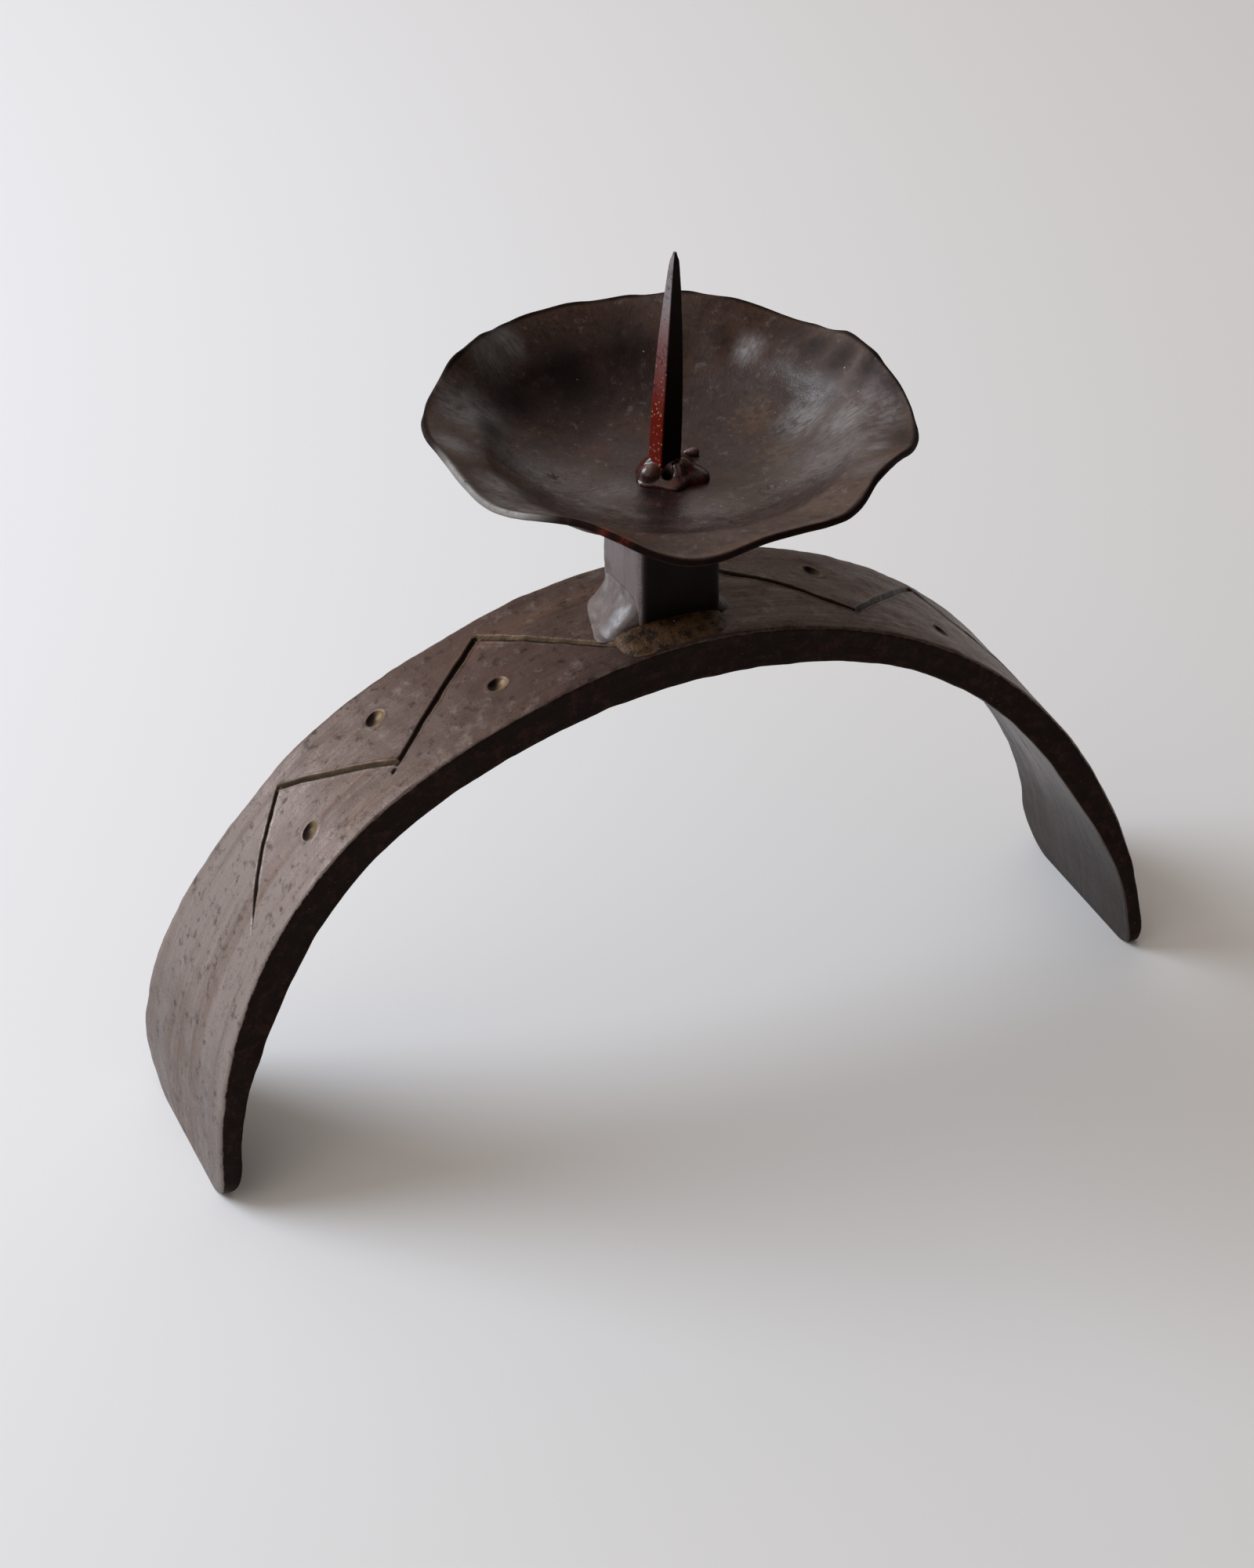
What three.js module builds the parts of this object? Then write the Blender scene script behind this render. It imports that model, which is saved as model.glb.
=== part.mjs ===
// A hand-forged iron candlestick: a flat bar bent into an arch that stands on its two cut ends,
// a short square post welded on its crown, a beaten dish with a wavy lip on the post, and a
// four-sided spike for a thick candle welded in the dish. Millimetres, +Z up, the arch along X.
import * as THREE from "three";
import { mergeVertices } from "three/addons/utils/BufferGeometryUtils.js";

// Clearance left between two pieces that lie against each other
const CLEARANCE = 0.3;

// The arch: outer face, bar section and feet
const ARCH_HEIGHT = 125.7;
const ARCH_HALF_SPAN = 128.6;
// How far the hammered outer face strays from a true arch, at equal angles from left to right foot
const ARCH_SWAY = [-1.3, 1.4, 2.4, -0.4, -0.4, -1.6, -3.1, -4, -2.5];
const BAR_WIDTH = 40;
const BAR_EDGE_RADIUS = 0.9;
const CROWN_THICKNESS = 11;
const HAUNCH_THICKNESS = 8.6;
const SOLE_THICKNESS = 3.8;
const CROWN_REACH = 75;
const LEG_TAPER_LENGTH = 66;
// Each foot is spread by hand, to the front and to the back of the arch's middle: how far it
// reaches, the rounding of the sole's corner, and the length over which it spreads
const LEFT_FOOT = {
  front: { reach: 26, corner: 9, spread: 84 },
  back: { reach: 33, corner: 16, spread: 94 },
};
const RIGHT_FOOT = {
  front: { reach: 28.5, corner: 5, spread: 110 },
  back: { reach: 28.6, corner: 13, spread: 116 },
};
const ARCH_STEPS = 84;

// The post
const POST_SIDE = 21;
const POST_HEIGHT = 32.5;
const POST_EDGE_RADIUS = 1.2;
const POST_AT = new THREE.Vector2(-1, -0.3);

// The dish, a round sheet beaten into a bowl with a flared lip
const SHEET_THICKNESS = 1.6;
const DISH_FLOOR_RADIUS = 14;
const DISH_BOWL_RADIUS = 43.7;
const DISH_BOWL_DEPTH = 11;
const LIP_WIDTH = 13.5;
const LIP_BEND_LENGTH = 5;
const DISH_SEGMENTS = 96;
// The rings of the dish's faces: shares of the flat floor's radius, then of what lies round it,
// closest where the sheet bends
const FLOOR_RINGS = [0, 0.68, 1];
const WALL_RINGS = [0.06, 0.16, 0.28, 0.41, 0.54, 0.65, 0.73, 0.79, 0.87];
const DISH_AT = new THREE.Vector2(0.4, -0.3);
// The lip's rise above the level, in degrees, where the smith bent it most and least
const LIP_WAVE = [
  { at: 0, rise: 46 },
  { at: 32, rise: 18 },
  { at: 57, rise: 36 },
  { at: 80, rise: 25 },
  { at: 104, rise: 30 },
  { at: 131, rise: 48 },
  { at: 155, rise: 20 },
  { at: 180, rise: 31 },
  { at: 201, rise: 22 },
  { at: 224, rise: 36 },
  { at: 251, rise: 6 },
  { at: 271, rise: 18 },
  { at: 288, rise: 14 },
  { at: 306, rise: 31 },
  { at: 333, rise: 8 },
];

// The spike
const SPIKE_SIDE = 5.7;
const SPIKE_TIP_SIDE = 1.1;
const SPIKE_LENGTH = 56.5;
const SPIKE_CORNER_SHARE = 0.09;
const SPIKE_SWELL = 0.8;
const SPIKE_LEAN = 1.3;

// The weld runs round the post's foot. `side` is the bearing of the post's face and `past` how far
// the run goes past that face's two corners; it lies on the arch for `reach` and climbs the post
// for `rise`, given at its two ends, and its face is hollow, or full below 0
const FRONT_LEDGE = (BAR_WIDTH - POST_SIDE) / 2 + POST_AT.y - CLEARANCE;
const POST_WELDS = [
  { name: "weld_left", side: 180, past: [-0.5, -0.5], reach: [11, 5], rise: [7.5, 6], hollow: 0.22 },
  {
    name: "weld_front",
    side: 270,
    past: [0, 6.5],
    reach: [FRONT_LEDGE - 1.1, FRONT_LEDGE - 0.3],
    rise: [2.6, 3.6],
    hollow: -0.1,
  },
  { name: "weld_right", side: 0, past: [-1.5, -1.5], reach: [4, 4.5], rise: [4.5, 4], hollow: 0.12 },
  { name: "weld_back", side: 90, past: [-1, -1], reach: [4.5, 4.5], rise: [4, 4], hollow: 0.1 },
];
const WELD_TOE = 0.3;
// What is left of a run's size at its two ends
const RUN_END_SHARE = 0.25;

// The tacks under the dish, one on each face of the post
const TACK_LENGTH = 12;
const TACK_LEG = 3;
const TACK_HOLLOW = 0.05;
const TACKS = [
  { name: "tack_right", side: 0 },
  { name: "tack_back", side: 90 },
  { name: "tack_left", side: 180 },
  { name: "tack_front", side: 270 },
];

// The weld puddle round the spike, measured out from the spike's corners, and a drop of spatter
const SPIKE_WELD_REACH = 3;
const SPIKE_WELD_HEIGHT = 2.6;
const SPIKE_WELD_STEPS = 48;
// The puddle's section: shares of the way out and of the way up
const SPIKE_WELD_SECTION = [
  [0, 0],
  [0, 1],
  [0.4, 0.94],
  [0.7, 0.66],
  [0.9, 0.3],
  [1, 0.1],
  [1, 0],
];
// Lumps of the weld round the spike: bearing in degrees, extra reach, extra height, spread in degrees
const SPIKE_WELD_LUMPS = [
  { at: 196, reach: 1.6, height: 1.5, spread: 26 },
  { at: 262, reach: 0.6, height: 0.3, spread: 24 },
  { at: 318, reach: 2.2, height: 0.4, spread: 34 },
  { at: 60, reach: -0.6, height: 0.5, spread: 40 },
];
const SPATTER_LENGTH = 3.8;
const SPATTER_WIDTH = 2.4;
const SPATTER_HEIGHT = 1.9;
const SPATTER_BEARING = 32;
const SPATTER_TURN = -18;
const SPATTER_FROM_WELD = 3;

const FORGED = { color: 0x4a4340, roughness: 0.5, metalness: 0.75 };
const BEATEN = { color: 0x3a322e, roughness: 0.42, metalness: 0.75 };
const WELDED = { color: 0x5a4a3f, roughness: 0.35, metalness: 0.8 };
const RUSTED = { color: 0x5c2f22, roughness: 0.45, metalness: 0.6 };

const toRadians = THREE.MathUtils.degToRad;

// 0 up to `start`, 1 from `end`, smooth between
function ease(value, start, end) {
  return THREE.MathUtils.smoothstep(value, start, end);
}

// Moves every vertex of a geometry to move(point), and leaves only the merged positions
function reshape(geometry, move) {
  geometry.deleteAttribute("normal");
  geometry.deleteAttribute("uv");
  const position = geometry.attributes.position;
  const point = new THREE.Vector3();
  for (let i = 0; i < position.count; i++) {
    move(point.fromBufferAttribute(position, i));
    position.setXYZ(i, point.x, point.y, point.z);
  }
  return mergeVertices(geometry, 1e-4);
}

// A closed solid from a rectangular run of points: rows of closed rings, joined end to start
function ringSolid(rings) {
  const size = rings[0].length;
  const position = rings.flat().flatMap((point) => [point.x, point.y, point.z]);
  const index = [];
  rings.forEach((ring, i) => {
    const next = (i + 1) % rings.length;
    ring.forEach((point, j) => {
      const k = (j + 1) % size;
      const corners = [i * size + j, next * size + j, next * size + k, i * size + k];
      index.push(corners[0], corners[2], corners[1], corners[0], corners[3], corners[2]);
    });
  });
  const geometry = new THREE.BufferGeometry();
  geometry.setAttribute("position", new THREE.Float32BufferAttribute(position, 3));
  geometry.setIndex(index);
  return geometry;
}

// A rectangle round the origin with its corners rounded
function roundedRectangle(width, height, radius) {
  const x = width / 2 - radius;
  const y = height / 2 - radius;
  const shape = new THREE.Shape();
  shape.absarc(x, y, radius, 0, Math.PI / 2);
  shape.absarc(-x, y, radius, Math.PI / 2, Math.PI);
  shape.absarc(-x, -y, radius, Math.PI, 1.5 * Math.PI);
  shape.absarc(x, -y, radius, 1.5 * Math.PI, 2 * Math.PI);
  shape.closePath();
  return shape;
}

function piece(name, geometry, finish) {
  const mesh = new THREE.Mesh(geometry, new THREE.MeshStandardMaterial(finish));
  mesh.geometry.computeVertexNormals();
  mesh.name = name;
  return mesh;
}

// The arch's outer face: distance from the axis at a bearing of 0 (left foot) to 180 (right foot)
const swayLine = new THREE.CatmullRomCurve3(
  ARCH_SWAY.map((sway, i) => new THREE.Vector3(i / (ARCH_SWAY.length - 1), sway, 0)),
);

function archRadius(bearing) {
  const level = Math.cos(bearing) ** 2;
  const sway = swayLine.getPoint(bearing / Math.PI).y;
  return THREE.MathUtils.lerp(ARCH_HEIGHT, ARCH_HALF_SPAN, level) + sway;
}

// A point of the arch at a bearing, a depth under its outer face and a place across its width
function archPoint(bearing, depth, across) {
  const radius = archRadius(bearing) - depth;
  return new THREE.Vector3(-radius * Math.cos(bearing), across, radius * Math.sin(bearing));
}

// The height of the arch's outer face at x, near the crown
function archTop(x) {
  let low = 0;
  let high = Math.PI;
  for (let i = 0; i < 40; i++) {
    const middle = (low + high) / 2;
    if (archPoint(middle, 0, 0).x < x) low = middle;
    else high = middle;
  }
  return archPoint(low, 0, 0).z;
}

// The bar's section along the arch: its length to the nearer sole sets thickness and width
function barThickness(toSole) {
  const crown = (Math.PI / 2) * ARCH_HEIGHT - toSole;
  const leg = ease(toSole, 0, LEG_TAPER_LENGTH);
  const swell = 1 - ease(crown, 0, CROWN_REACH);
  const body = THREE.MathUtils.lerp(HAUNCH_THICKNESS, CROWN_THICKNESS, swell);
  return THREE.MathUtils.lerp(SOLE_THICKNESS, body, leg);
}

// How far the bar reaches to one side of the arch's middle, with the sole's corner taken off
function barReach(toSole, { reach, corner, spread }) {
  const flare = 1 - ease(toSole, 0, spread);
  const below = Math.max(corner - toSole, 0);
  const body = THREE.MathUtils.lerp(BAR_WIDTH / 2, reach, flare);
  return body - corner + Math.sqrt(corner ** 2 - below ** 2);
}

// The arch: a straight bar with rounded edges, tapered and spread at its ends, then bent round
function makeArch() {
  const section = roundedRectangle(BAR_WIDTH, CROWN_THICKNESS, BAR_EDGE_RADIUS);
  const bar = new THREE.ExtrudeGeometry(section, {
    depth: 1,
    steps: ARCH_STEPS,
    curveSegments: 2,
    bevelEnabled: false,
  });
  return reshape(bar, (point) => {
    const bearing = (Math.PI / 2) * (1 - Math.cos(Math.PI * point.z));
    const toSole = Math.min(bearing, Math.PI - bearing) * ARCH_HEIGHT;
    const foot = bearing < Math.PI / 2 ? LEFT_FOOT : RIGHT_FOOT;
    const side = point.x < 0 ? foot.front : foot.back;
    const across = Math.abs(point.x) - BAR_WIDTH / 2 + barReach(toSole, side);
    const under = CROWN_THICKNESS / 2 - point.y;
    const depth = point.y > 0 ? under : under - CROWN_THICKNESS + barThickness(toSole);
    point.copy(archPoint(bearing, depth, Math.sign(point.x) * across));
  });
}

const postFoot = archTop(POST_AT.x) + CLEARANCE;
const postHead = postFoot + POST_HEIGHT;

function makePost() {
  const section = roundedRectangle(POST_SIDE, POST_SIDE, POST_EDGE_RADIUS);
  return new THREE.ExtrudeGeometry(section, {
    depth: POST_HEIGHT,
    curveSegments: 3,
    bevelEnabled: false,
  });
}

// The lip's rise at a bearing round the dish, from the nearest bends on either side
function lipRise(bearing) {
  const degrees = THREE.MathUtils.euclideanModulo(THREE.MathUtils.radToDeg(bearing), 360);
  const next = LIP_WAVE.findIndex((bend) => bend.at > degrees);
  const after = next < 0 ? { at: 360, rise: LIP_WAVE[0].rise } : LIP_WAVE[next];
  const before = next < 0 ? LIP_WAVE.at(-1) : LIP_WAVE[next - 1];
  const share = (degrees - before.at) / (after.at - before.at);
  const rise = THREE.MathUtils.lerp(before.rise, after.rise, (1 - Math.cos(Math.PI * share)) / 2);
  return toRadians(rise);
}

// The bowl is an arc from the flat floor to the bend of the lip
const bowlReach = DISH_BOWL_RADIUS - DISH_FLOOR_RADIUS;
const wallAngle = 2 * Math.atan(DISH_BOWL_DEPTH / bowlReach);
const bowlArcRadius = bowlReach / Math.sin(wallAngle);
const bowlArcLength = bowlArcRadius * wallAngle;
const sheetRadius = DISH_FLOOR_RADIUS + bowlArcLength + LIP_WIDTH;

function sheetSlope(along, bearing) {
  const intoBowl = along - DISH_FLOOR_RADIUS;
  const wall = THREE.MathUtils.clamp(intoBowl / bowlArcRadius, 0, wallAngle);
  const bend = ease(intoBowl - bowlArcLength, -LIP_BEND_LENGTH / 2, LIP_BEND_LENGTH / 2);
  return THREE.MathUtils.lerp(wall, lipRise(bearing), bend);
}

// The middle of the sheet at a length along it from its centre: radius, height and slope
function sheetPoint(along, bearing) {
  const steps = 60;
  const step = along / steps;
  let radius = 0;
  let height = 0;
  for (let i = 0; i < steps; i++) {
    const slope = sheetSlope((i + 0.5) * step, bearing);
    radius += Math.cos(slope) * step;
    height += Math.sin(slope) * step;
  }
  return { radius, height, slope: sheetSlope(along, bearing) };
}

// The dish: a flat round blank, thick as the sheet, with each point carried to its beaten place.
// Its origin is the middle of its underside
function makeDish() {
  const half = SHEET_THICKNESS / 2;
  const rings = [
    ...FLOOR_RINGS.map((share) => share * DISH_FLOOR_RADIUS),
    ...WALL_RINGS.map((share) => THREE.MathUtils.lerp(DISH_FLOOR_RADIUS, sheetRadius, share)),
  ];
  const under = rings.map((radius) => new THREE.Vector2(radius, -half));
  const over = rings.map((radius) => new THREE.Vector2(radius, half)).reverse();
  const rim = [-60, -20, 20, 60].map((turn) => {
    const edge = half * Math.cos(toRadians(turn));
    return new THREE.Vector2(sheetRadius - half + edge, half * Math.sin(toRadians(turn)));
  });
  const blank = new THREE.LatheGeometry([...under, ...rim, ...over], DISH_SEGMENTS);
  return reshape(blank, (point) => {
    const along = Math.hypot(point.x, point.z);
    const bearing = Math.atan2(point.x, point.z);
    const offset = point.y;
    const { radius, height, slope } = sheetPoint(along, bearing);
    const reach = along < 1e-6 ? 0 : radius - offset * Math.sin(slope);
    point.x = reach * Math.cos(bearing);
    point.y = reach * Math.sin(bearing);
    point.z = half + height + offset * Math.cos(slope);
  });
}

// The spike: a square bar drawn out to a point that swells on the way down
function makeSpike() {
  const section = roundedRectangle(SPIKE_SIDE, SPIKE_SIDE, SPIKE_SIDE * SPIKE_CORNER_SHARE);
  const spike = new THREE.ExtrudeGeometry(section, {
    depth: SPIKE_LENGTH,
    steps: 14,
    curveSegments: 2,
    bevelEnabled: false,
  });
  return reshape(spike, (point) => {
    const share = Math.sin((Math.PI / 2) * (1 - point.z / SPIKE_LENGTH) ** SPIKE_SWELL);
    const side = THREE.MathUtils.lerp(SPIKE_TIP_SIDE, SPIKE_SIDE, share);
    const lean = (SPIKE_LEAN * point.z) / SPIKE_LENGTH;
    point.x = (point.x * side) / SPIKE_SIDE + lean;
    point.y = (point.y * side) / SPIKE_SIDE;
  });
}

// Full in the middle of a run and rounded down to nothing much at its two ends
function runFullness(share) {
  const fromMiddle = Math.abs(2 * share - 1);
  return THREE.MathUtils.lerp(RUN_END_SHARE, 1, Math.sqrt(1 - fromMiddle ** 6));
}

// A run against the post, seen from the post's axis: +X out from the face, and along it to -Y
function makeRun(section, steps, curveSegments, place) {
  const run = new THREE.ExtrudeGeometry(section, {
    depth: 1,
    steps,
    curveSegments,
    bevelEnabled: false,
  });
  return reshape(run, (point) => {
    const full = runFullness(point.z);
    const { out, along, up } = place(point, full);
    point.set(POST_SIDE / 2 + CLEARANCE + out, -along, up);
  });
}

// A weld run in the corner between the post and the arch, its foot bent to the arch's outer face
function makePostWeld({ side, past, reach, rise, hollow }) {
  const section = new THREE.Shape();
  section.moveTo(0, 0);
  for (const share of [0.25, 0.5, 0.75, 1]) section.lineTo(share, 0);
  section.lineTo(1, WELD_TOE / Math.max(...rise));
  section.quadraticCurveTo(0.5 - hollow, 0.5 - hollow, WELD_TOE / Math.max(...reach), 1);
  section.lineTo(0, 1);
  section.closePath();
  const run = makeRun(section, 12, 6, (point, full) => ({
    out: point.x * full * THREE.MathUtils.lerp(reach[0], reach[1], point.z),
    along: THREE.MathUtils.lerp(-POST_SIDE / 2 - past[0], POST_SIDE / 2 + past[1], point.z),
    up: point.y * full * THREE.MathUtils.lerp(rise[0], rise[1], point.z),
  }));
  const cos = Math.cos(toRadians(side));
  const sin = Math.sin(toRadians(side));
  return reshape(run, (point) => {
    const x = POST_AT.x + point.x * cos - point.y * sin;
    point.z += archTop(x) + CLEARANCE - postFoot;
  });
}

// A short weld in the corner between the post's head and the dish
function makeTack() {
  const section = new THREE.Shape();
  section.moveTo(0, 0);
  section.lineTo(0, -TACK_LEG);
  const middle = TACK_LEG * (0.5 - TACK_HOLLOW);
  section.quadraticCurveTo(middle, -middle, TACK_LEG, 0);
  section.closePath();
  return makeRun(section, 6, 5, (point, full) => ({
    out: point.x * full,
    along: (point.z - 0.5) * TACK_LENGTH,
    up: point.y * full,
  }));
}

// How strongly a lump of the puddle is felt at a bearing: 1 at its middle, 0 past its spread
function lumpShare(lump, bearing) {
  const away = THREE.MathUtils.euclideanModulo(bearing - lump.at + 180, 360) - 180;
  return 1 - ease(Math.abs(away), 0, lump.spread);
}

// The puddle: a lumpy ring with a square hole that the spike stands in
const spikeWeldRadius = SPIKE_SIDE * Math.SQRT1_2 + SPIKE_WELD_REACH;

function makeSpikeWeld() {
  const rings = Array.from({ length: SPIKE_WELD_STEPS }, (_, i) => {
    const bearing = (360 * i) / SPIKE_WELD_STEPS;
    const cos = Math.cos(toRadians(bearing));
    const sin = Math.sin(toRadians(bearing));
    const inner = (SPIKE_SIDE / 2 + CLEARANCE) / Math.max(Math.abs(cos), Math.abs(sin));
    let outer = spikeWeldRadius;
    let height = SPIKE_WELD_HEIGHT;
    for (const lump of SPIKE_WELD_LUMPS) {
      outer += lump.reach * lumpShare(lump, bearing);
      height += lump.height * lumpShare(lump, bearing);
    }
    return SPIKE_WELD_SECTION.map(([out, up]) => {
      const radius = THREE.MathUtils.lerp(inner, outer, out);
      return new THREE.Vector3(radius * cos, radius * sin, up * height);
    });
  });
  return ringSolid(rings);
}

// The drop of spatter, drawn out away from the spike
function makeSpatter() {
  const drop = new THREE.SphereGeometry(0.5, 14, 9);
  drop.rotateX(Math.PI / 2);
  drop.scale(SPATTER_LENGTH, SPATTER_WIDTH, SPATTER_HEIGHT);
  return drop;
}

// The arch stands at the origin; the post and its welds share the post's axis and its foot
const onArch = new THREE.Group();
onArch.position.set(POST_AT.x, POST_AT.y, postFoot);
onArch.add(piece("post", makePost(), FORGED));
for (const weld of POST_WELDS) {
  const run = piece(weld.name, makePostWeld(weld), WELDED);
  run.rotation.z = toRadians(weld.side);
  onArch.add(run);
}
for (const { name, side } of TACKS) {
  const tack = piece(name, makeTack(), WELDED);
  tack.position.z = POST_HEIGHT;
  tack.rotation.z = toRadians(side);
  onArch.add(tack);
}

// The dish lies on the post's head, and carries the spike and its weld on its floor
const onDish = new THREE.Group();
onDish.position.z = SHEET_THICKNESS + CLEARANCE;
onDish.add(piece("spike", makeSpike(), RUSTED));
onDish.add(piece("spike_weld", makeSpikeWeld(), RUSTED));
const spatter = piece("spatter_drop", makeSpatter(), RUSTED);
const spatterReach = spikeWeldRadius + SPATTER_FROM_WELD;
spatter.position.set(
  spatterReach * Math.cos(toRadians(SPATTER_BEARING)),
  spatterReach * Math.sin(toRadians(SPATTER_BEARING)),
  SPATTER_HEIGHT / 2,
);
spatter.rotation.z = toRadians(SPATTER_TURN);
onDish.add(spatter);

const onPost = new THREE.Group();
onPost.position.set(DISH_AT.x, DISH_AT.y, postHead + CLEARANCE);
onPost.add(piece("dish", makeDish(), BEATEN), onDish);

const candlestick = new THREE.Group();
candlestick.add(piece("arch", makeArch(), FORGED), onArch, onPost);

// The whole stands on its soles, centred on its own box
const extent = new THREE.Box3().setFromObject(candlestick, true);
const middle = extent.getCenter(new THREE.Vector3());
candlestick.position.set(-middle.x, -middle.y, -extent.min.z);

const stand = new THREE.Group();
stand.add(candlestick);

export default stand;
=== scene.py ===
"""A hand-forged candlestick: a flat bar bent into an arch, with a chiselled zigzag, carries a
square post, a beaten dish and a spike, all held by weld metal. Sizes in the classes are in
millimetres; the meshes are in metres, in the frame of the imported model."""

import itertools
import logging
import math
from collections.abc import Callable
from dataclasses import dataclass, field
from enum import Enum

import bmesh
import bpy
import numpy as np
from mathutils import Euler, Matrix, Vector


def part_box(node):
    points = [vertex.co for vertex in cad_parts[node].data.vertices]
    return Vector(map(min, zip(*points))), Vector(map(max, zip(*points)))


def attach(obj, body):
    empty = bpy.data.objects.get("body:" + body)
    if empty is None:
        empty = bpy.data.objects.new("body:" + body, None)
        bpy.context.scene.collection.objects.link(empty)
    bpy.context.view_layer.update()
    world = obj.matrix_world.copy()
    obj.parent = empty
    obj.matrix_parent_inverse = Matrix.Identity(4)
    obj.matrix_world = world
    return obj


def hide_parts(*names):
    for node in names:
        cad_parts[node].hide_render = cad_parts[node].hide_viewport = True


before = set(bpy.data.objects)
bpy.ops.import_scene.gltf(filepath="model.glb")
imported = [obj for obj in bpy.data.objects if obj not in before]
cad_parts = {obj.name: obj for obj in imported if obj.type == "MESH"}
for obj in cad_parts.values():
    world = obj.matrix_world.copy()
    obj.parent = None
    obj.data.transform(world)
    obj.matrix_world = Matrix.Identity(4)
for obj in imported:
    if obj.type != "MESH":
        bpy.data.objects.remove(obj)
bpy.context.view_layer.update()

MM = 0.001
# The middle of the candlestick's box, measured from the middle of the bare arch
SHIFT = (0.6937, 0.693)
DISH_CENTRE = (1.0937, 0.393)
POST_SIDE = 21.0
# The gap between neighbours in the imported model
CLEARANCE = 0.3
log = logging.getLogger("candlestick")

# One number, or one for each of many places
Values = np.ndarray | float
Triple = tuple[float, float, float]
# One size, or one for each axis
Sizes = float | Triple
Colour = Triple
Socket = bpy.types.NodeSocket


# Numbers laid over points in space


def lattice(cells: np.ndarray, seed: int) -> np.ndarray:
    """Gives each cell of a lattice a value that is the same in every run.

    Args:
        cells: Whole numbers, three for each cell.
        seed: Picks one of many such lattices.

    Returns:
        One value from 0 to 1 for each cell.
    """
    x, y, z = (cells[:, k].astype(np.int64).astype(np.uint64) for k in range(3))
    mask = np.uint64(0xFFFFFFFF)
    mixed = x * np.uint64(374761393) + y * np.uint64(668265263) + z * np.uint64(2147483647)
    mixed = (mixed + np.uint64(seed * 1013904223)) & mask
    mixed = ((mixed ^ (mixed >> np.uint64(15))) * np.uint64(2246822519)) & mask
    mixed = ((mixed ^ (mixed >> np.uint64(13))) * np.uint64(3266489917)) & mask
    return ((mixed ^ (mixed >> np.uint64(16))) & np.uint64(0xFFFFFF)).astype(float) / 0xFFFFFF


def soft_noise(points: np.ndarray, size: Sizes, seed: int) -> np.ndarray:
    """Smooth unevenness.

    Args:
        points: Places in millimetres, three numbers each.
        size: The size of its features in millimetres, or one for each axis.
        seed: Picks the pattern.

    Returns:
        One value from -1 to 1 for each point.
    """
    scaled = points / np.asarray(size, float)
    base = np.floor(scaled)
    part = scaled - base
    part = part**3 * (part * (part * 6 - 15) + 10)
    total = np.zeros(len(points))
    for corner in itertools.product((0, 1), repeat=3):
        share = np.prod([part[:, k] if c else 1 - part[:, k] for k, c in enumerate(corner)], axis=0)
        total += share * lattice(base + np.array(corner), seed)
    return 2 * total - 1


def blows(points: np.ndarray, spacing: Sizes, seed: int) -> np.ndarray:
    """The shallow dents that hammer blows leave side by side, with ridges where they meet.

    Args:
        points: Places in millimetres, three numbers each.
        spacing: The distance between blows, or one for each axis.
        seed: Picks the pattern.

    Returns:
        The height of each point, 0 at the bottom of a dent and up to about 1 on a ridge.
    """
    scaled = points / np.asarray(spacing, float)
    base = np.floor(scaled)
    nearest = np.full(len(points), 9.0)
    for step in itertools.product((-1, 0, 1), repeat=3):
        cell = base + np.array(step)
        centre = cell + np.stack([lattice(cell, seed + k) for k in range(3)], axis=1)
        nearest = np.minimum(nearest, ((scaled - centre) ** 2).sum(axis=1))
    return nearest


def ease(value: Values, start: float, end: float) -> np.ndarray:
    """0 up to start, 1 from end, and smooth between."""
    share = np.clip((np.asarray(value, float) - start) / (end - start), 0, 1)
    return share * share * (3 - 2 * share)


def blend_to(start: Values, end: Values, share: Values) -> np.ndarray:
    """The value a share of the way from start to end."""
    return start + (end - start) * np.asarray(share)


def bump_at(points: np.ndarray, centre: tuple[float, ...], reach: float) -> np.ndarray:
    """1 at a centre, falling smoothly to 0 at a distance from it."""
    away = np.sqrt(((points[:, : len(centre)] - np.array(centre)) ** 2).sum(axis=1))
    return 1 - ease(away, 0, reach)


def turned(x: np.ndarray, y: np.ndarray, degrees: float) -> tuple[np.ndarray, np.ndarray]:
    """Places on the floor, turned about the origin."""
    turn = math.radians(degrees)
    return x * math.cos(turn) - y * math.sin(turn), x * math.sin(turn) + y * math.cos(turn)


# Meshes


def mesh_points(piece: bpy.types.Object) -> np.ndarray:
    """The places of a piece's vertices.

    Args:
        piece: The piece.

    Returns:
        Places in millimetres, a row of three for each vertex.
    """
    flat = np.zeros(len(piece.data.vertices) * 3)
    piece.data.vertices.foreach_get("co", flat)
    return flat.reshape(-1, 3) / MM


def mesh_normals(piece: bpy.types.Object) -> np.ndarray:
    """The outward direction at each of a piece's vertices.

    Args:
        piece: The piece.

    Returns:
        Directions of length 1, a row of three for each vertex.
    """
    flat = np.zeros(len(piece.data.vertices) * 3)
    piece.data.vertex_normals.foreach_get("vector", flat)
    return flat.reshape(-1, 3)


def move_points(piece: bpy.types.Object, points: np.ndarray) -> None:
    """Puts a piece's vertices in new places, given in millimetres."""
    piece.data.vertices.foreach_set("co", (points * MM).ravel())
    piece.data.update()


def write_values(piece: bpy.types.Object, name: str, values: np.ndarray) -> None:
    """Keeps one number or one vector for each vertex, for the piece's finish to read.

    Args:
        piece: The piece.
        name: The attribute's name.
        values: One value, or a row of three, for each vertex.
    """
    kind, key = ("FLOAT", "value") if values.ndim == 1 else ("FLOAT_VECTOR", "vector")
    attribute = piece.data.attributes.new(name, kind, "POINT")
    attribute.data.foreach_set(key, values.astype(np.float32).ravel())


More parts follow.
